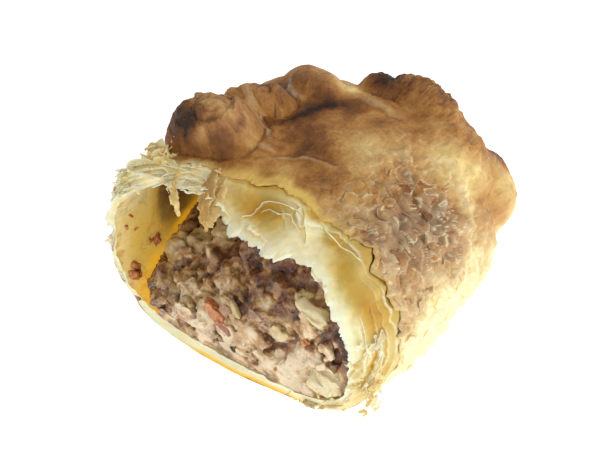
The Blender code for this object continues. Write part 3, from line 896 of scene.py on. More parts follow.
def make_skin(material):
    """The baked skin as a closed shell: its outside from the back pole to the torn edge, a rounded rim, and
    its underside back to the pole. Rows run between the pole and the edge without its rags, and take up the
    rags only near the edge. The skin thickens away from the tear."""
    theta = angles(SKIN_TURNS, low=-32, high=162, share=0.8)
    edge = skin_edge_at(theta)
    even_edge = torn_edge(theta, SKIN_EDGE, 21, 0)
    share = np.linspace(0, 1, SKIN_ROWS + 1)[1:] ** 0.85
    under = 1 - np.linspace(0.1, 0.98, SKIN_UNDER_ROWS) ** 2
    along = np.concatenate([share, under])[:, None]
    reach = BACK_POLE + (even_edge - BACK_POLE) * along + (edge - even_edge) * along**10
    angle = np.broadcast_to(theta, reach.shape)
    radius, pale, dark = full_skin_radius(angle, reach, edge)
    thick = SKIN_THICKNESS + (SKIN_THICKNESS_BACK - SKIN_THICKNESS) * (1 - under) ** 0.5
    thin = np.concatenate([np.zeros(SKIN_ROWS), thick])[:, None]
    thin = thin * (0.3 + 0.7 * ease(np.sin(theta), -0.5, 0.1))
    rim = np.zeros(len(along))
    rim[SKIN_ROWS - 1] = SKIN_RIM
    rows = placed(angle, reach, radius - thin - rim[:, None])
    outside = placed(angle, reach, radius)
    # The dark mask adds painted shade to the brown
    brown = browning_and_painted_light(outside) + 0.10 * dark + streaks(angle, reach)
    away = np.clip(reach - edge, 0, None)
    degrees = np.degrees(angle)
    # How far from the tear the thin pastry takes painted light coming through it, as yellow and a glow
    glow = (1.6 + 3.8 * bump(degrees, 94, 24)) * MM
    glow = glow * (1 + 0.5 * round_the_tear(angle, 8 * MM, 109, 2))
    by_tear = 1 - ease(away, 0.2 * glow, 1.5 * glow)
    lit = 1.3 * by_tear * ease(np.sin(angle), 0.0, 0.5) * (0.25 + 0.75 * bump(degrees, 88, 28))
    lip = np.exp(-away / SKIN_LIP_WIDTH) * 0.7
    fields = skin_fields(brown, np.maximum(pale, lip), floury_share(outside), lit)
    piece = closed_pieces("crust_skin", rows[None], material, fields=fields)


LAYERS = 5
LAYER_LIP = 0.5 * MM
LAYER_OVERHANG = 0.6 * MM
FINE_RAG_CELL = 1.1 * MM
FINE_RAG_REACH = 0.55 * MM
BROAD_RAG_CELL = 4 * MM
BROAD_RAG_REACH = 1.1 * MM
FRINGE_CURL_CELL = 5 * MM
FRINGE_CURL = 0.5 * MM
LEFT_BEHIND_SKIN = 0.8 * MM
LEAF_FOLD_CELL = 5 * MM
LEAF_FOLD_HEIGHT = 0.22 * MM
LEAF_ROUGH_CELL = 1.6 * MM
LEAF_ROUGH_HEIGHT = 0.09 * MM
HIDDEN_ROWS = (0.02, 0.15, 0.35, 0.55, 0.75, 0.9, 0.97)
HIDDEN_DEPTH = 0.26
HIDDEN_END = 3.5 * MM
BAND_ROWS = 100
BODY_TURNS = 640
CAVITY_ROWS = 30
# The torn band by theta and by the share of the way forward from the skin: each place with its half widths,
# then how much deeper it is cut, how far the layers part there, or how golden it is
BAND_HOLLOWS = (
    (97, 0.40, 16, 0.26, 0.40),
    (66, 0.50, 6, 0.40, -0.22),
    (52, 0.22, 6, 0.14, 0.10),
    (30, 0.42, 19, 0.26, 0.42),
    (43, 0.58, 9, 0.20, 0.14),
    (4, 0.50, 12, 0.30, 0.12),
    (138, 0.50, 12, 0.35, -0.16),
)
BAND_PARTINGS = (
    (71, 0.20, 9, 0.16, 1.0),
    (48, 0.06, 10, 0.10, 0.8),
    (22, 0.08, 10, 0.10, 0.8),
    (146, 0.45, 18, 0.50, 1.0),
    (0, 0.50, 14, 0.40, 0.9),
    (84, 0.80, 10, 0.12, 0.5),
)
# Golden places are partly the pastry's own colour and partly painted shade in the band's hollows
BAND_GOLD = (
    (99, 0.34, 16, 0.36, 0.66),
    (82, 0.46, 12, 0.30, 0.42),
    (66, 0.08, 5, 0.08, 0.70),
    (50, 0.20, 8, 0.16, 0.45),
    (36, 0.36, 14, 0.32, 0.60),
    (17, 0.30, 11, 0.32, 0.64),
    (142, 0.40, 14, 0.40, 0.25),
    (352, 0.40, 14, 0.50, 0.50),
)


def band_sum(theta, share, places):
    """The amounts of the band's named places at each point, as bells of their half widths, added up."""
    total = np.zeros(np.broadcast(theta, share).shape)
    turned = np.degrees(theta)
    for middle, at, half_arc, half_share, amount in places:
        round_way = (turned - middle + 180) % 360 - 180
        total = total + amount * bump(round_way, 0, half_arc) * bump(share, at, half_share)
    return total


def cut_depth(theta, share, place):
    """How deep the tear has cut, from 0 at the skin to 1 on the cavity's wall: deeper with the share of the
    way forward, with named hollows and ridges, and slow noise."""
    cut = 0.1 + 0.9 * share**1.2 + band_sum(theta, share, BAND_HOLLOWS)
    slow = 0.09 * fractal(place, 12 * MM, 2, 411)
    slow = slow + 0.035 * fractal(warped(place, 5 * MM, 2 * MM, 401), 4 * MM, 2, 415)
    shallowest = 0.05 + 0.06 * ease(np.sin(theta), -0.1, 0.3)
    cut = np.clip(cut + np.sin(np.pi * share) * slow, shallowest, 0.97)
    return cut + np.clip(share - 0.9, 0, 0.1) * 0.3


def smooth_share(theta, reach):
    """The share of the way forward over the band, between its edges without their rags."""
    skin = torn_edge(theta, SKIN_EDGE, 21, 0)
    inner = torn_edge(theta, INNER_EDGE, 22, 0)
    return np.clip((reach - skin) / (inner - skin), 0, 1)


def torn_layers(theta, share, place):
    """The torn band's depth, and masks for each layer's lip and for the golden pastry under it, which is
    painted shade below the lip. The tear cuts down through layers, so each layer's edge is a line of equal
    depth: level ground, a raised lip, and a short fall to the next layer. Away from the named partings the
    layers hold together, and the cut is one smooth sheet."""
    wander = 0.10 * fractal(warped(place, 4 * MM, 2 * MM, 431), 5 * MM, 3, 433)
    parted = band_sum(theta, share, BAND_PARTINGS) * (1 + 0.5 * noise(place, 3 * MM, 423))
    parted = np.clip(parted, 0, 1) * np.sin(np.pi * np.clip(share, 0, 1)) ** 0.25
    level = (cut_depth(theta, share, place) + wander * parted) * LAYERS
    ground = np.floor(level)
    rise = level - ground
    stepped = ground + 0.2 * rise + 0.8 * ease(rise, 0.87, 1.0)
    depth = (level + (stepped - level) * parted) / LAYERS
    lip = bump(rise, 0.86, 0.07) * parted
    # under is painted shade just below each lip, coloured ochre
    under = bump(rise, 0.10, 0.16) * parted
    return depth, lip, under


def body_form(theta):
    """The body's points, with each row's reach, the rows of the torn band, its masks, and its inner edge.
    The first rows are hidden under the skin, the next ones cross the band, and the last ones line the
    cavity. Just behind the skin's edge the body drops away from the skin."""
    skin_edge = skin_edge_at(theta)
    shown = ease(np.sin(theta), -0.6, 0.1)
    rags = FINE_RAG_REACH * round_the_tear(theta, FINE_RAG_CELL, 131, 3)
    rags = rags + BROAD_RAG_REACH * round_the_tear(theta, BROAD_RAG_CELL, 133, 2)
    inner_edge = torn_edge(theta, INNER_EDGE, 22) + shown * rags
    hidden = np.array(HIDDEN_ROWS)[:, None]
    hidden_reach = BACK_POLE + (skin_edge + HIDDEN_END - BACK_POLE) * hidden
    share = np.linspace(0, 1, BAND_ROWS)[:, None] + 0 * theta
    band_reach = skin_edge + (inner_edge - skin_edge) * share
    angle = np.broadcast_to(theta, band_reach.shape)
    place = placed(angle, band_reach, 0 * band_reach + PLAN_RADIUS)
    even = smooth_share(angle, band_reach)
    even = even + (share - even) * ease(share, 0.75, 1.0)
    depth, lip, under = torn_layers(angle, even, place)
    band_reach = band_reach - shown * LAYER_OVERHANG * lip * np.sin(np.pi * share)
    fringe = ease(share, 0.90, 1.0)
    curl = FRINGE_CURL * (round_the_tear(theta, FRINGE_CURL_CELL, 135, 2) + 0.4) * fringe * shown
    lifted = full_skin_radius(theta, skin_edge, skin_edge)[0] - skin_radius(theta, skin_edge)
    lifted = smoothed(lifted, 8)
    band_offset = LAYER_LIP * lip * shown + curl + lifted * (1 - ease(share, 0.0, 0.3))
    back = np.linspace(1, 0, CAVITY_ROWS + 1)[:-1, None] ** 0.8
    wall_reach = BACK_POLE + (inner_edge - BACK_POLE) * back
    reach = np.concatenate([hidden_reach, band_reach, wall_reach])
    depth = np.concatenate([np.full(hidden_reach.shape, HIDDEN_DEPTH), depth, np.ones(wall_reach.shape)])
    wall_curl = curl[-1] * np.exp(-(wall_reach - inner_edge) / (1.2 * MM))
    offset = np.concatenate([0 * hidden_reach, band_offset, wall_curl])
    angle = np.broadcast_to(theta, reach.shape)
    outer = skin_radius(angle, reach)
    inner = inner_radius(angle, reach)
    radius = outer + (inner - outer) * depth + offset
    behind = ease(reach - skin_edge, 1.5 * MM, 4 * MM) * (depth < 0.9)
    radius = radius + (np.minimum(radius, inner + LEFT_BEHIND_SKIN) - radius) * behind
    points = placed(angle, reach, radius)
    folds = fractal(warped(points, 6 * MM, 3 * MM, 187), LEAF_FOLD_CELL, 2, 183) * LEAF_FOLD_HEIGHT
    rough = fractal(points, LEAF_ROUGH_CELL, 3, 181) * LEAF_ROUGH_HEIGHT + folds
    points = points + rough[..., None]
    points[..., 2] = np.maximum(points[..., 2], 0)
    in_band = np.zeros((len(reach), 1), bool)
    in_band[len(hidden) : len(hidden) + BAND_ROWS] = True
    masks = np.zeros((3, *reach.shape))
    masks[:, in_band[:, 0]] = lip, under, even
    return points, reach, in_band, masks, inner_edge


def make_crust_body(material):
    """The pastry under the skin as one closed form: an underside for the skin, then the torn band down
    through its layers to a ragged fringe, then the cavity's wall. The band is golden in its named places and
    white on its lips, and its gold is partly painted shade in hollows, under each lip and just ahead of the
    skin's edge. The wall's left side is soaked by fat next to the heap and glows as painted light coming
    through, is speckled near the mouth, and is painted dark brown as shade deep in under the roof. Low at the
    front by the floor it glows as painted light from the lit table."""
    theta = angles(BODY_TURNS, low=-25, high=215, share=0.86)
    points, reach, in_band, (lip, under, share), inner_edge = body_form(theta)
    angle = np.broadcast_to(theta, reach.shape)
    degrees = np.degrees(angle)
    golden = 0.10 + band_sum(angle, share, BAND_GOLD)
    # Ochre under each lip and just ahead of the skin's edge is painted shade
    ochre = golden * (1 - 0.85 * ease(share, 0.74, 0.96)) + 0.35 * under
    ochre = ochre + 0.35 * (1 - ease(share, 0.0, 0.10)) * ease(np.sin(angle), 0, 0.4)
    ochre = np.where(in_band, ochre, 0.25)
    left_wall = bump(degrees, 190, 45) * ~in_band
    # deep is painted shade in under the roof: brown by the ochre ramp's end, and no glow there
    deep = ease(reach, -31 * MM, -23 * MM) * ease(np.sin(angle), -0.2, 0.2) * ~in_band
    below = ease(35 * MM - points[..., 2], 0, 7 * MM)
    inward = ease(reach - inner_edge, 1 * MM, 12 * MM)
    blotch = 0.5 + 0.5 * fractal(points, 5 * MM, 3, 185)
    by_heap = ease(points[..., 1] - slope_y(points), -11 * MM, -1 * MM)
    # Fat soaked in next to the heap; the finish also makes it glow as painted light
    stain = left_wall * below * (0.12 + 0.88 * by_heap) * (0.6 + 0.6 * blotch)
    stain = stain * (1 - deep) * (1 - ease(degrees, 205, 222))
    membrane = bump(degrees, 152, 14) * bump(reach, -36 * MM, 6 * MM) * ~in_band
    # Painted glow low at the front by the floor, as if the lit table shone through the base
    painted_floor_glow = ease(1.6 * MM - points[..., 2], 0, 1.2 * MM) * ease(-38 * MM - points[..., 1], 0, 4 * MM)
    stain = np.maximum(stain * (1 - membrane), 0.9 * painted_floor_glow * ease(-np.sin(angle), 0.1, 0.5))
    ochre = ochre + left_wall * (0.02 + 0.45 * inward) * (1 - membrane) + 0.9 * deep
    white = 0.9 * lip + 0.8 * ease(share, 0.93, 1.0) + 0.7 * membrane * blotch
    # The left wall's mask: rusty spots and small marks, and the wall's painted glow
    specks = left_wall * (1 - 0.85 * ease(reach, -33 * MM, -16 * MM)) * (1 - deep)
    fields = leaf_fields(ochre - 0.6 * lip, white, stain, specks)
    piece = closed_pieces("crust_body", points[None], material, fields=fields)
    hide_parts("crust")


def ring_loops(across):
    """Shares across a thin strip and its side, out along the top and back along the underside."""
    out = np.linspace(0, 1, across)
    share = np.concatenate([out, out[::-1]])
    side = np.concatenate([np.ones(across), -np.ones(across)])
    return share, side


# Thin sheets that stand up from the torn band: a path of theta and reach, then height and lean in mm
TORN_SHEETS = (
    (((98, -41), (95, -38), (94, -34), (90.5, -31.7), (80, -31.2), (71.5, -31), (63, -33.5)), 1.3, -1.2),
    (((93, -35.5), (88, -33.2), (81, -34.5), (75, -33), (69, -35.5), (64, -37)), 0.8, -0.9),
    (((74, -28.5), (69.5, -30.5), (64, -34), (58.5, -38)), 1.1, -0.9),
    (((60, -30), (53, -31.5), (46, -32.2), (38, -32)), 0.9, -1.0),
    (((14, -38), (6, -38.5), (-3, -39), (-10, -42)), 1.0, -1.2),
    (((22, -42), (13, -43), (5, -42), (-5, -43.5)), 1.2, -1.2),
    (((122, -35), (116, -37), (109, -38.5), (104, -41)), 1.2, -1.5),
    (((154, -37), (146, -35), (139, -33.5), (131, -33)), 1.8, -1.4),
    (((160, -43), (150, -40), (142, -38), (134, -36)), 1.5, -2.0),
    (((170, -46), (160, -44.5), (150, -42.5)), 1.0, -1.2),
)


SHEET_STEPS = 150
SHEET_ROOT = 0.5 * MM
SHEET_HALF_THICKNESS = 0.09 * MM


def make_torn_sheets(material):
    """Loose sheets along the torn band. Each stands on its path, smoothed, leans forward and waves, and its
    height falls to nothing at both ends; its top edge is ragged."""
    share, side = ring_loops(9)
    fine = np.linspace(0, 1, SHEET_STEPS)
    taper = (1 - (2 * fine - 1) ** 2) ** 0.6
    forms, golden = [], []
    for number, (path, height, lean) in enumerate(TORN_SHEETS):
        knots = np.linspace(0, 1, len(path))
        theta, reach = [np.interp(fine, knots, column) for column in np.array(path, float).T]
        theta, reach = [smoothed(values, 15) for values in (theta, reach)]
        theta, reach = np.radians(theta), reach * MM
        line = placed(theta, reach, 0 * theta + PLAN_RADIUS) + number
        reach = reach + 0.7 * MM * fractal(line, 5 * MM, 2, 201)
        wave = 1 + 0.7 * fractal(line, 5 * MM, 2, 203)
        rag = 1 + 0.2 * fractal(line, 1.2 * MM, 2, 205)
        place = placed(theta, reach, 0 * theta + PLAN_RADIUS)
        depth, _, _ = torn_layers(theta, smooth_share(theta, reach), place)
        outer, inner = skin_radius(theta, reach), inner_radius(theta, reach)
        ground = outer + (inner - outer) * depth - SHEET_ROOT
        up = np.maximum(taper * wave * rag, 0)[:, None] * share
        lift = (height + 0.6) * MM * up**0.9
        at = reach[:, None] + lean * MM * up * up + side * SHEET_HALF_THICKNESS
        angle = np.broadcast_to(theta[:, None], at.shape)
        forms.append(placed(angle, at, ground[:, None] + lift + 0.05 * MM * side))
        golden.append(bump(np.degrees(angle), 88, 22))
    points = np.array(forms)
    lip = np.broadcast_to(ease(share, 0.45, 1.0), points.shape[:-1])
    fields = leaf_fields(0.15 + 0.6 * np.array(golden) * (1 - lip), 0.1 + 0.6 * lip)
    piece = closed_pieces("torn_sheets", points, material, fields=fields)


SKIN_FLAKES = 40
FLAKE_RINGS = 6
FLAKE_TURNS = 22
FLAKE_SUNK = 0.8 * MM
FLAKE_HALF_THICKNESS = 0.12 * MM


def make_skin_flakes(material):
    """Flakes that peel from the craggy side: polar discs with ragged outlines, laid on the skin by angle and
    reach, sunk on one side and lifting towards the other, with a top and an underside that share the rim."""
    draw = np.random.default_rng(17)
    count = SKIN_FLAKES
    theta = np.radians(draw.uniform(-16, 60, count))
    reach = draw.uniform(-31, 6, count) * MM
    size = draw.uniform(1.2, 3.2, count) * MM
    outward = np.linspace(0.15, 1, FLAKE_RINGS)
    out = np.concatenate([outward, outward[::-1][1:]])[:, None]
    side = np.concatenate([np.ones(FLAKE_RINGS - 1), [0.0], -np.ones(FLAKE_RINGS - 1)])[:, None]
    turn = np.linspace(0, 2 * np.pi, FLAKE_TURNS, endpoint=False)
    circle = np.stack([np.cos(turn), np.sin(turn), 0 * turn], -1)
    outline = 1 + 0.4 * fractal(circle[None] + 9.0 * np.arange(count)[:, None, None], 0.7, 3, 211)
    u = size[:, None, None] * out * np.cos(turn) * outline[:, None]
    v = size[:, None, None] * out * np.sin(turn) * outline[:, None]
    v = v * draw.uniform(0.6, 1.1, count)[:, None, None]
    lift_way = draw.uniform(0, 2 * np.pi, count)[:, None, None]
    lift = draw.uniform(0.2, 0.9, count)[:, None, None] * MM
    toward = (out * np.cos(turn - lift_way) + 1) / 2
    angle = theta[:, None, None] + u / PLAN_RADIUS
    at = reach[:, None, None] + v
    edge = torn_edge(angle, SKIN_EDGE, 21)
    at = np.maximum(at, edge + 1 * MM)
    middle = theta[:, None], np.maximum(reach, edge[:, 0, 0] + 1 * MM)[:, None]
    relief = full_skin_radius(*middle, edge[:, :1, 0])[0] - skin_radius(*middle)
    radius = skin_radius(angle, at) + relief[..., None]
    wave = 0.3 * MM * fractal(placed(angle, at, radius), 2.5 * MM, 2, 213)
    thick = FLAKE_HALF_THICKNESS * side * (1.3 - out)
    points = placed(angle, at, radius - FLAKE_SUNK + (FLAKE_SUNK + lift) * toward**1.3 + wave + thick)
    brown = browning_and_painted_light(points) + draw.uniform(-0.06, 0.08, count)[:, None, None]
    pale = ease(out, 0.6, 1.0) * 0.5 * toward + (side < 0) * 0.4
    fields = skin_fields(brown, pale, floury_share(points))
    piece = closed_pieces("skin_flakes", points, material, fields=fields)


SHARDS = 54
LEFT_SHARDS = 40
SHARD_STEPS = 26
SHARD_HALF_THICKNESS = 0.13 * MM


def make_shards(material):
    """Jagged leaf ends: each is a thin blade that leaves the torn band, runs forward by angle and reach and
    lifts off, its width falling raggedly to the tip. Most are at the upper left, some at the lower right."""
    draw = np.random.default_rng(31)
    left = np.arange(SHARDS) < LEFT_SHARDS
    root = np.where(left, draw.uniform(120, 176, SHARDS), draw.uniform(-42, 14, SHARDS))
    share_in = draw.uniform(-0.15, 0.9, SHARDS)
    length = draw.uniform(2.5, 7.5, SHARDS) * MM * np.where(root > 158, 0.45, 1)
    width = draw.uniform(1.2, 4.5, SHARDS) * MM
    lift = np.where(left, draw.uniform(0.2, 3.2, SHARDS), draw.uniform(-0.5, 0.8, SHARDS)) * MM
    drift = draw.uniform(-6, 6, SHARDS)
    along = np.linspace(0, 1, SHARD_STEPS)
    share, side = ring_loops(7)
    theta = np.radians(root[:, None] + drift[:, None] * along)
    skin_edge = torn_edge(theta, SKIN_EDGE, 21)
    inner_edge = torn_edge(theta, INNER_EDGE, 22)
    start = skin_edge[:, :1] + (inner_edge - skin_edge)[:, :1] * share_in[:, None]
    reach = np.maximum(start - length[:, None] * along * 0.75, -49.5 * MM)
    number = np.arange(SHARDS)[:, None] * 23.0
    line = np.stack([along * 8 * MM + number, 0 * along + number, 0 * along + number], -1)
    rag = 1 + 0.55 * fractal(line, 1.6 * MM, 3, 301)
    half = width[:, None] / 2 * (1 - along**1.5 * 0.93) * rag
    across = (2 * share - 1) * half[..., None]
    angle = theta[..., None] + across / PLAN_RADIUS
    wander = np.broadcast_arrays(angle * 40, reach[..., None] * 900, number[..., None])
    at = reach[..., None] + 0.6 * MM * noise(np.stack(wander, -1), 1.0, 307)
    depth = 0.2 + 0.65 * np.clip(share_in, 0, 1)[:, None, None]
    outer, inner = skin_radius(angle, at), inner_radius(angle, at)
    wave = 0.5 * MM * fractal(line + 5.0, 3 * MM, 2, 303)[..., None] * along[:, None]
    cup = 0.35 * MM * (2 * share - 1) ** 2
    thick = SHARD_HALF_THICKNESS * side * (1.1 - along[:, None] * 0.7)
    radius = outer + (inner - outer) * depth + (lift[:, None] * along**1.6)[..., None] + wave + cup + thick
    edge = np.abs(2 * share - 1)
    tip = along[:, None]
    ochre = draw.uniform(0.1, 0.9, SHARDS)[:, None, None] * (1 - 0.4 * tip)
    fields = leaf_fields(ochre, 0.15 + 0.5 * edge**3 + 0.3 * tip)
    piece = closed_pieces("torn_shards", placed(angle, at, radius), material, fields=fields)


# Splinters of skin over the torn edge: theta, reach, depth under the form and width in mm, root to tip
SPLINTER_BROWN = (
    (123, -28.5, 0.6, 3),
    (121.5, -32, 0.4, 4.5),
    (120, -37, 1.6, 5.2),
    (119, -42, 4.5, 5.0),
    (118.5, -44.5, 8.0, 3.5),
    (119, -45, 11, 1),
)
SPLINTER_LOBE = (
    (117, -31, 0.6, 3),
    (115.5, -36, 1.5, 5.5),
    (114, -41, 3.5, 6),
    (113, -44.5, 6.0, 4),
    (112.5, -45.5, 7.5, 1.5),
)
SPLINTER_PALE = (
    (138, -33, 2, 4.5),
    (136.5, -38, 3.5, 4.5),
    (135, -42.5, 7, 3.6),
    (134.5, -44.5, 11, 1),
)
SPLINTER_STEPS = 110
SPLINTER_ACROSS = 25
SPLINTER_USUAL_WIDTH = 8
SPLINTER_HALF_THICKNESS = 0.24 * MM
SPLINTER_RIPPLE = 0.3 * MM
SPLINTER_CURL = 1.0 * MM
SPLINTER_CRUMBLE = 0.32 * MM


def make_splinter(name, path, material, brown, seed):
    """A thin torn flake along a smooth curve through a path in the form's coordinates. Its width follows the
    path's own, both sides are ragged, lengthwise ripples run across it, and its face is crumbly."""
    places = np.array(path, float)
    knots = np.linspace(0, 1, len(places))
    fine = np.linspace(0, 1, SPLINTER_STEPS)
    theta, reach, depth, width = [smoothed(np.interp(fine, knots, column), 11) for column in places.T]
    theta = np.radians(theta)
    start, way, _ = rays(theta, reach * MM)
    middle = start + way * (form_radius(theta, reach * MM) - depth * MM)[:, None]
    across_way = np.stack([np.sin(theta), np.zeros_like(theta), -np.cos(theta)], -1)
    share, side = ring_loops(SPLINTER_ACROSS)
    line = np.stack([fine * 20 * MM, np.full_like(fine, seed * 1.0), np.zeros_like(fine)], -1)
    left_rag = 1 + 0.5 * fractal(line, 2.2 * MM, 4, 220 + seed)
    right_rag = 1 + 0.5 * fractal(line, 2.2 * MM, 4, 230 + seed)
    reach_out = np.where(share[None] < 0.5, left_rag[:, None], right_rag[:, None])
    out = (share[None] - 0.5) * width[:, None] * MM * reach_out
    scale = width[:, None] / SPLINTER_USUAL_WIDTH
    ripple = SPLINTER_RIPPLE * np.sin(share[None] * 9 + 3 * fine[:, None]) * scale
    thick = SPLINTER_HALF_THICKNESS * side[None] * (1 - np.abs(2 * share[None] - 1) ** 3 * 0.8)
    curl = SPLINTER_CURL * (2 * share[None] - 1) ** 2 * scale
    rise = ripple + thick - curl
    points = middle[:, None] + across_way[:, None] * out[..., None] + way[:, None] * rise[..., None]
    crumbly = fractal(points, 1.5 * MM, 3, 250 + seed)
    points = points + way[:, None] * (SPLINTER_CRUMBLE * crumbly)[..., None]
    edge = np.abs(2 * share[None] - 1)
    pale = ease(edge, 0.7, 1.0) * 0.6 + 0.3 * crumbly
    # The thin share gives the splinter a little painted yellow and glow of light coming through
    fields = skin_fields(brown + 0.2 * crumbly, pale, 0.0, 0.25)
    piece = closed_pieces(name, points[None], material, fields=fields)


PROUD_OF_FRONT = 1.3 * MM
STEP_BACK_LOW = 1.0 * MM


def held_back(points):
    """Points of the filling kept behind a front that steps back low down, where the base's rim shows."""
    front = FILLING_FRONT_Y - PROUD_OF_FRONT + STEP_BACK_LOW * ease(12 * MM - points[..., 2], 0, 9 * MM)
    held = points.copy()
    held[..., 1] = np.maximum(points[..., 1], front)
    return held


SLOPE_BLEND = 6 * MM


def slope_y(points):
    """The y of the filling's open slope over a place in the section: a steep front up to a height that
    falls to the left, and above it a heap that leans back, most on the left."""
    x, z = points[..., 0], points[..., 2]
    above = z - (SLOPE_HEIGHT + SLOPE_FALL * x)
    above = smooth_max(above, np.zeros_like(above), SLOPE_BLEND)
    lean = SLOPE_LEAN + SLOPE_LEAN_LEFT * np.clip(-x / (45 * MM), 0, 1) ** 1.3
    return np.minimum(FILLING_FRONT_Y + above * lean, SLOPE_BACK_Y)


def cavity_point(theta, reach, gap):
    """A point of the filling's outside, the gap in from the cavity's wall and a little more at the back."""
    start, way, turned = rays(theta, reach)
    gap = gap + FILLING_GAP_BACK * np.sin(turned)
    return start + way * (inner_radius(theta, reach) - gap)[..., None]


def inside_cavity(points, gap):
    """Points drawn in towards the axis until they lie the gap inside the cavity's wall."""
    x, y, z = points[..., 0], points[..., 1], points[..., 2] - AXIS_Z
    theta = np.arctan2(z, x)
    radius = np.hypot(x, z)
    share = np.minimum(1, (inner_radius(theta, y) - gap) / np.maximum(radius, 1e-9))
    return np.stack([x * share, y, z * share + AXIS_Z], -1)


FILLING_TURNS = 90
FILLING_FACE_ROWS = 30
FILLING_BACK_ROWS = 8
# Patches of the meat's tone: x, y, z and radius in mm and how much paler; the darker ones high up by the roof
# are painted shade
FILLING_PATCHES = (
    ((-8, -33, 36), 10, -0.38),
    ((10, -38, 38), 9, -0.30),
    ((-1, -43, 27), 5, -0.10),
    ((30, -46, 31), 6, -0.30),
    ((-36, -28, 24), 7, -0.15),
    ((-18, -46, 13), 11, 0.34),
    ((12, -47, 11), 13, 0.34),
    ((25, -47, 22), 9, 0.42),
    ((-18, -44, 26), 6, 0.10),
)


# Pieces that the photograph shows on the slope: their middles and half sizes in mm
SHOWN_POTATO = (
    ((-35, -31.0, 20.5), (4.8, 3.4, 4.2), 10),
    ((-28, -28.8, 24), (5.4, 3.4, 4.4), -15),
    ((-20.5, -25.0, 28.5), (5.0, 3.2, 4.3), 20),
    ((-3, -47.3, 24), (2.2, 1.8, 6.0), -22),
    ((27.5, -45.6, 34.0), (6.4, 3.0, 3.7), 15),
    ((31, -46.4, 14.0), (5.8, 2.4, 4.6), -10),
    ((-20, -46.4, 15), (3.6, 2.4, 2.8), 0),
)
SHOWN_ROOT = (
    ((-9, -47.9, 20.5), (4.4, 2.1, 2.3), 38),
    ((-6, -48.2, 16.0), (4.2, 1.6, 1.8), 34),
    ((23.5, -47.0, 25.7), (1.9, 1.5, 1.3), 60),
    ((-39, -40.6, 10), (2.6, 1.7, 1.6), 40),
)


RIM_ROUNDS = 12
SLAB_GAP = 0.25 * MM
SLAB_TURNS = 200
SLAB_RINGS = 80
SLAB_THICKNESS = 3.5 * MM
CLUMP_CELL = 8 * MM
CLUMP_HEIGHT = 3.2 * MM


def slope_rim(theta, gap):
    """The y where the open slope meets the cavity's wall, found by going halfway there again and again."""
    rim = np.full(len(theta), FILLING_FRONT_Y)
    for _ in range(RIM_ROUNDS):
        rim = 0.5 * rim + 0.5 * slope_y(cavity_point(theta, rim, gap))
    return rim


def slope_slab():
    """A closed slab under the face of the heap, with the big clumps in its front: the rings of the face, and
    the same rings set back behind it."""
    theta = np.linspace(0, 2 * np.pi, SLAB_TURNS, endpoint=False)
    ring = cavity_point(theta, slope_rim(theta, SLAB_GAP), SLAB_GAP)
    middle = np.array([0, 0, AXIS_Z])
    share = np.linspace(0.01, 1, SLAB_RINGS)[:, None, None]
    face = middle + (ring - middle) * share
    face[..., 1] = slope_y(face)
    clumps = warped(face, 5 * MM, 2.5 * MM, 251)
    face[..., 1] += CLUMP_HEIGHT * np.abs(fractal(clumps, CLUMP_CELL, 3, 255)) - 1.0 * MM
    back = face[::-1] + np.array([0, SLAB_THICKNESS, 0])
    back[..., 0] *= 0.97
    return np.concatenate([face, back])[None]


BEHIND_SLOPE = 1.5 * MM


def make_filling(material):
    """The heap's body, which fills the cavity a little behind the open slope."""
    theta = np.linspace(0, 2 * np.pi, FILLING_TURNS, endpoint=False)
    rim = slope_rim(theta, FILLING_GAP) + BEHIND_SLOPE
    rows = []
    for share in np.linspace(0, 1, FILLING_BACK_ROWS + 1)[1:]:
        rows.append(cavity_point(theta, BACK_POLE + (rim - BACK_POLE) * share, FILLING_GAP))
    ring = rows[-1]
    middle = np.array([0, 0, AXIS_Z])
    for share in np.linspace(1, 0, FILLING_FACE_ROWS + 1)[1:-1]:
        row = middle + (ring - middle) * share
        row[:, 1] = slope_y(row) + BEHIND_SLOPE
        rows.append(row)
    piece = closed_pieces("filling_heap", np.array(rows)[None], material, fields={"tone": 0.25, "red": 0.2})
    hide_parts("filling")


def lumps(places, sizes, tilts, draw, power, rough, rings, around, seed):
    """Closed lumps: a ball squared off by a power, its radius worked by noise, stretched to three half
    sizes, turned and set in place. The last ones are tilted about Y by the given degrees, clockwise as
    seen from the front, and the others are turned at random. Gives the points and the ball's own radius."""
    count = len(places)
    polar = np.linspace(0, np.pi, rings + 2)[1:-1][:, None]
    turn = np.linspace(0, 2 * np.pi, around, endpoint=False)
    out, up = np.sin(polar), np.cos(polar) + 0 * turn
    ball = np.stack([out * np.cos(turn), out * np.sin(turn), up], -1)
    squared = np.sign(ball) * np.abs(ball) ** power
    own = squared[None] + 17.0 * np.arange(count)[:, None, None, None]
    radius = 1 + rough * fractal(own, 1.1, 3, seed)
    shaped = squared[None] * radius[..., None] * sizes[:, None, None]
    turns = np.linalg.qr(draw.normal(size=(count, 3, 3)))[0]
    for number, tilt in enumerate(tilts, count - len(tilts)):
        cosine, sine = np.cos(np.radians(tilt)), np.sin(np.radians(tilt))
        turns[number] = ((cosine, 0, -sine), (0, 1, 0), (sine, 0, cosine))
    return np.einsum("nrtc,ncd->nrtd", shaped, turns) + places[:, None, None], radius


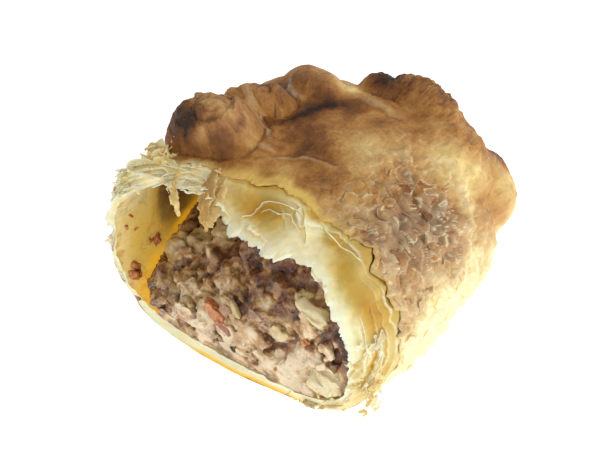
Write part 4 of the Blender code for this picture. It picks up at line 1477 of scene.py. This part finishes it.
def fused_mass(name, rows_of_forms, voxel, material):
    """One mesh fused from closed forms by a voxel remesh. Gives the piece, its points and its normals."""
    raws = []
    for number, rows in enumerate(rows_of_forms):
        raws.append(closed_pieces(f"{name}_raw_{number}", rows, material))
    with bpy.context.temp_override(active_object=raws[0], selected_editable_objects=raws):
        bpy.ops.object.join()
    fuse = raws[0].modifiers.new("fuse", "REMESH")
    fuse.mode = "VOXEL"
    fuse.voxel_size = voxel
    mesh = bpy.data.meshes.new_from_object(raws[0].evaluated_get(bpy.context.evaluated_depsgraph_get()))
    bpy.data.objects.remove(raws[0], do_unlink=True)
    points, normals = np.empty((2, len(mesh.vertices) * 3), np.float32)
    mesh.vertices.foreach_get("co", points)
    mesh.vertex_normals.foreach_get("vector", normals)
    mesh.shade_smooth()
    mesh.materials.clear()
    mesh.materials.append(material)
    piece = bpy.data.objects.new(name, mesh)
    bpy.context.scene.collection.objects.link(piece)
    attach(piece, "root")
    return piece, points.reshape(-1, 3).astype(float), normals.reshape(-1, 3)


def set_points(piece, points, fields):
    """Moves the piece's points and gives it its fields."""
    piece.data.vertices.foreach_set("co", points.ravel())
    for field, values in fields.items():
        values = np.array(np.broadcast_to(values, len(points)))
        piece.data.attributes.new(field, "FLOAT", "POINT").data.foreach_set("value", values)
    piece.data.update()


MINCE_LUMPS = 330
MINCE_CHUNKS = 0.34
MINCE_VOXEL = 0.36 * MM
MINCE_ROUGH = 0.34 * MM
WALL_CLEARANCE = 0.15 * MM
LOOSE_POTATO = 12
LOOSE_ROOT = 5


def make_mince(draw, material):
    """Minced meat over the slope: small lumps fused with the slab under them and roughened by noise. Its tone
    and redness are noises, with the patches that the photograph shows, and it is painted paler where it
    stands proud and darker where it is sunk, as light and shade."""
    places = on_slope(draw, MINCE_LUMPS, low=0.02, high=0.98)
    chunk = draw.uniform(size=len(places)) < MINCE_CHUNKS
    size = np.where(chunk, draw.uniform(2.2, 3.8, len(places)), draw.uniform(0.8, 1.8, len(places)))
    sizes = size[:, None] * draw.uniform(0.65, 1.4, (len(places), 3)) * MM
    sunk = np.where(chunk, draw.uniform(-0.8, 2.6, len(places)), draw.uniform(-0.2, 2.0, len(places)))
    places[:, 1] += sunk * MM
    rows, _ = lumps(places, sizes, (), draw, power=0.85, rough=0.55, rings=14, around=20, seed=271)
    forms = [inside_cavity(rows, WALL_CLEARANCE), slope_slab()]
    piece, points, normals = fused_mass("minced_meat", forms, MINCE_VOXEL, material)
    rough = fractal(warped(points, 2 * MM, 1 * MM, 311), 1.7 * MM, 3, 313)
    points = held_back(inside_cavity(points + normals * (MINCE_ROUGH * rough)[:, None], 0.1 * MM))
    tone = 0.52 + 0.42 * noise(warped(points, 5 * MM, 3 * MM, 317), 4.6 * MM, 319) + 0.1 * rough
    # Painted light and shade: paler where the meat stands proud of the slope or its noise lifts it, darker
    # where it is sunk
    proud = slope_y(points) - points[:, 1]
    tone = tone + 0.5 * ease(proud, -2.2 * MM, 1.8 * MM) - 0.34
    tone = tone + bells(points, FILLING_PATCHES)
    red = 0.15 + 0.5 * noise(points, 4.5 * MM, 329)
    low = ease(22 * MM - points[:, 2], 0, 10 * MM)
    sinew = 0.7 * low + 0.8 * bump(points[:, 0], 10 * MM, 8 * MM) * bump(points[:, 2], 24 * MM, 6 * MM)
    set_points(piece, points, {"tone": tone, "red": red, "sinew": sinew})


def on_slope(draw, count, low, high):
    """Seeded places on the open slope, at shares of the way from its middle to its rim. Three times as many
    are drawn as are wanted, and the more the slope leans back at one, the likelier it is kept."""
    tries = 3 * count
    theta = draw.uniform(0, 2 * np.pi, tries)
    share = draw.uniform(low, high, tries) ** 0.6
    ring = cavity_point(theta, np.full(tries, FILLING_FRONT_Y), FILLING_GAP)
    middle = np.array([0, 0, AXIS_Z])
    places = middle + (ring - middle) * share[:, None]
    places[:, 1] = slope_y(places)
    lean = (slope_y(places + np.array([0, 0, MM])) - places[:, 1]) / MM
    shown = (places[:, 1] < SLOPE_BACK_Y - 2 * MM) & (draw.uniform(size=tries) < 0.4 + 0.3 * lean)
    return places[shown][:count]


def with_shown(places, sizes, shown):
    """Places and half sizes with those of the shown pieces added at the end, and the shown pieces' tilts."""
    middles, halves, tilts = zip(*shown)
    places = np.concatenate([places, np.array(middles) * MM])
    sizes = np.concatenate([sizes, np.array(halves) * MM])
    return places, sizes, tilts


def make_potato(draw, material):
    """Diced potato, part sunk in the slope: paler where it stands proud, as painted light, and to the right,
    and darker in its hollows.
    """
    places = on_slope(draw, LOOSE_POTATO, low=0.02, high=0.95)
    sizes = draw.uniform(1.8, 3.4, (len(places), 1)) * draw.uniform(0.85, 1.15, (len(places), 3)) * MM
    places[:, 1] += draw.uniform(1.0, 2.2, len(places)) * MM
    places, sizes, tilts = with_shown(places, sizes, SHOWN_POTATO)
    points, radius = lumps(places, sizes, tilts, draw, power=0.75, rough=0.42, rings=28, around=40, seed=281)
    points = warped(points, 1.6 * MM, 0.45 * MM, 283)
    points = held_back(inside_cavity(points, WALL_CLEARANCE))
    # Paler where it stands proud of the slope is painted light; the next lines also darken its hollows
    proud = slope_y(points) - points[..., 1]
    tone = -0.05 + 0.45 * ease(proud, -1 * MM, 3 * MM) + 0.6 * (radius - 1)
    tone = tone + draw.uniform(-0.1, 0.15, len(places))[:, None, None]
    tone = tone + 0.45 * ease(points[..., 0], -12 * MM, 20 * MM)
    piece = closed_pieces("potato_dice", points, material, fields={"tone": tone})


def make_root(draw, material):
    """Bits of carrot and swede on the slope."""
    places = on_slope(draw, LOOSE_ROOT, low=0.05, high=0.9)
    sizes = draw.uniform(0.8, 1.6, (len(places), 1)) * draw.uniform(0.6, 1.3, (len(places), 3)) * MM
    places, sizes, tilts = with_shown(places, sizes, SHOWN_ROOT)
    points, _ = lumps(places, sizes, tilts, draw, power=0.8, rough=0.4, rings=20, around=28, seed=291)
    piece = closed_pieces("root_bits", held_back(inside_cavity(points, WALL_CLEARANCE)), material)


# Bits of root that stick to the cavity's left wall: theta, reach, then three half sizes, in degrees and mm
WALL_BITS = (
    (192.5, -44, 2.2, 1.0, 2.0),
    (191.0, -42.6, 1.8, 0.8, 1.4),
    (190.2, -41, 1.2, 0.7, 1.0),
    (186.8, -31, 2.0, 1.0, 1.4),
    (185.8, -32.6, 1.1, 0.7, 0.8),
    (168, -40, 0.8, 0.5, 0.7),
    (176, -38, 0.7, 0.5, 0.5),
    (172, -42, 0.6, 0.4, 0.8),
    (199, -42, 1.4, 0.8, 0.9),
)


def make_wall_bits(material):
    """Bits of root stuck to the wall: small lumps half sunk in it."""
    draw = np.random.default_rng(41)
    bits = np.array(WALL_BITS)
    theta, reach = np.radians(bits[:, 0]), bits[:, 1] * MM
    places = placed(theta, reach, inner_radius(theta, reach) + 0.1 * MM)
    sizes = bits[:, 2:] * MM
    points, _ = lumps(places, sizes, (), draw, power=0.9, rough=0.65, rings=14, around=20, seed=351)
    points = warped(points, 1.2 * MM, 0.35 * MM, 353)
    piece = closed_pieces("wall_bits", points, material)


# Crumbly masses of torn pastry: middle, half spreads and half size of a crumb in mm, how many, how golden
CRUMB_MASSES = (
    ((-41, -30, 53.5), (4.5, 4.5, 2.0), 1.9, 60, 0.6),
    ((-46, -36, 48.0), (3.0, 4.5, 2.5), 1.4, 34, 0.55),
    ((-38, -24, 56.0), (3.0, 2.5, 1.2), 1.3, 16, 0.5),
    ((40, -46.0, 21), (1.6, 1.6, 5.0), 1.2, 46, 0.55),
    ((24, -48.6, 1.4), (9.0, 0.7, 0.7), 0.5, 26, 0.5),
    ((34, -47.5, 8.0), (5.0, 1.2, 4.0), 0.9, 26, 0.35),
    ((44, -43, 12), (2.5, 3.0, 6.0), 0.9, 70, 0.35),
)


CRUMB_VOXEL = 0.2 * MM
CRUMB_ROUGH = 0.12 * MM
CRUMB_LOWEST = 0.05 * MM
CRUMB_FRONT = -50.5 * MM


def make_crumbs(material):
    """Crumbly masses of pastry: flat flakes scattered about each middle, fused, and roughened by noise."""
    draw = np.random.default_rng(43)
    rows = []
    for middle, spread, size, count, _ in CRUMB_MASSES:
        places = (np.array(middle) + draw.normal(size=(count, 3)).clip(-1.6, 1.6) * spread * 0.6) * MM
        sizes = size * draw.uniform(0.5, 1.2, (count, 1))
        sizes = sizes * draw.uniform([0.7, 0.7, 0.16], [1.3, 1.3, 0.3], (count, 3)) * MM
        forms, _ = lumps(places, sizes, (), draw, power=0.9, rough=0.5, rings=10, around=14, seed=361)
        forms[..., 2] = np.maximum(forms[..., 2], CRUMB_LOWEST)
        forms[..., 1] = np.maximum(forms[..., 1], CRUMB_FRONT)
        rows.append(forms)
    piece, points, normals = fused_mass("pastry_crumbs", rows, CRUMB_VOXEL, material)
    rough = fractal(points, 1.1 * MM, 3, 363)
    points = points + normals * (CRUMB_ROUGH * rough)[:, None]
    points[:, 2] = np.maximum(points[:, 2], 0)
    ochre = np.zeros(len(points))
    for middle, spread, _, _, gold in CRUMB_MASSES:
        away = (((points / MM - np.array(middle)) / (np.array(spread) * 1.3)) ** 2).sum(-1)
        ochre = np.maximum(ochre, gold * np.exp(-away / 3))
    set_points(piece, points, leaf_fields(ochre + 0.25 * rough, 0.1 + 0.4 * rough))


FLOOR_HALF = 3.0
FLOOR_DROP = 0.05 * MM
FLOOR_GLOW = 0.7


def make_floor():
    """A wide pale floor that gives back light from below, as a lit table does."""
    finish = Finish("pale_floor", Roughness=0.6, Emission_Strength=FLOOR_GLOW)
    wire = finish.wire
    cloud = wire.place().grain(0.2, 2)
    finish.feed("Base Color", cloud.mixed(linear(250, 250, 249), linear(247, 248, 248)))
    finish.shader.inputs["Emission Color"].default_value = (1, 1, 1, 1)
    mesh = bpy.data.meshes.new("floor")
    signs = ((-1, -1), (1, -1), (1, 1), (-1, 1))
    corners = [(x * FLOOR_HALF, y * FLOOR_HALF, -FLOOR_DROP) for x, y in signs]
    mesh.from_pydata(corners, [], [(0, 1, 2, 3)])
    mesh.materials.append(finish.material)
    floor = bpy.data.objects.new("floor", mesh)
    bpy.context.scene.collection.objects.link(floor)


SKY_STRENGTH = 0.8
LIGHT_AIM = (0, 0, 25 * MM)
# The soft lights: azimuth and elevation in degrees, distance and size in metres, power in watts, and colour
LIGHTS = {
    "back_right": (135, 45, 0.9, 0.6, 3.5, (1.0, 0.99, 0.97)),
    "front": (35, 25, 1.0, 0.5, 2.0, (1.0, 1.0, 1.0)),
}


def backward(azimuth, elevation):
    """The way from the pasty to what looks at it from that azimuth and elevation in degrees."""
    az, el = np.radians(azimuth), np.radians(elevation)
    return Vector((np.sin(az) * np.cos(el), -np.cos(az) * np.cos(el), np.sin(el)))


def aimed(thing, aim, back, distance):
    """Puts a light or a camera that far back from its aim, turned to look at it."""
    thing.location = Vector(aim) + back * distance
    thing.rotation_mode = "QUATERNION"
    thing.rotation_quaternion = (-back).to_track_quat("-Z", "Y")
    bpy.context.scene.collection.objects.link(thing)


def make_light(name, azimuth, elevation, distance, size, power, colour):
    """A square soft light that looks at the pasty from that azimuth and elevation."""
    lamp = bpy.data.lights.new(name, "AREA")
    lamp.energy = power
    lamp.size = size
    lamp.color = colour
    light = bpy.data.objects.new(name, lamp)
    aimed(light, LIGHT_AIM, backward(azimuth, elevation), distance)


def make_studio():
    """White surroundings, bright low down and dimmer overhead, as over a lit table, with a wide soft light
    from behind on the right and a weaker one in front."""
    world = bpy.data.worlds.new("studio")
    world.use_nodes = True
    sky = Wire(world.node_tree, None)
    around = sky.node("ShaderNodeTexCoord", {}, {}, "Generated")
    upward = sky.node("ShaderNodeSeparateXYZ", {}, {0: around}, "Z")
    back = world.node_tree.nodes["Background"]
    glow = upward.between(0.05, 0.8).mixed((1, 1, 1, 1), (0.3, 0.3, 0.31, 1))
    world.node_tree.links.new(glow.socket, back.inputs["Color"])
    back.inputs["Strength"].default_value = SKY_STRENGTH
    bpy.context.scene.world = world
    for name, values in LIGHTS.items():
        make_light(name, *values)


# The camera, from the photograph's perspective: its lens and sensor in mm
CAMERA_LENS = 85
CAMERA_SENSOR = 36
CAMERA_AZIMUTH = 35
CAMERA_ELEVATION = 40
CAMERA_DISTANCE = 0.455
CAMERA_AIM = (-4.5 * MM, -6.7 * MM, 22.9 * MM)


def make_camera():
    """The photograph's view: its azimuth and elevation, aimed so that the pasty sits where it does there."""
    camera = bpy.data.objects.new("camera", bpy.data.cameras.new("camera"))
    camera.data.lens = CAMERA_LENS
    camera.data.sensor_width = CAMERA_SENSOR
    camera.data.clip_start = 0.01
    aimed(camera, CAMERA_AIM, backward(CAMERA_AZIMUTH, CAMERA_ELEVATION), CAMERA_DISTANCE)
    bpy.context.scene.camera = camera


def main():
    """Makes the finishes, the pieces, the floor, the lights and the camera."""
    baked = skin_finish()
    torn = leaf_finish()
    make_skin(baked)
    make_crust_body(torn)
    make_torn_sheets(torn)
    make_skin_flakes(baked)
    make_shards(torn)
    make_splinter("splinter_brown", SPLINTER_BROWN, baked, brown=0.52, seed=1)
    make_splinter("splinter_lobe", SPLINTER_LOBE, baked, brown=0.3, seed=3)
    make_splinter("splinter_pale", SPLINTER_PALE, baked, brown=0.25, seed=2)
    meat = meat_finish()
    make_filling(meat)
    root = root_finish()
    draw = np.random.default_rng(23)
    make_mince(draw, meat)
    make_potato(draw, potato_finish())
    make_root(draw, root)
    make_wall_bits(root)
    make_crumbs(torn)
    make_floor()
    make_studio()
    make_camera()
    bpy.context.scene.view_settings.view_transform = "Standard"


main()
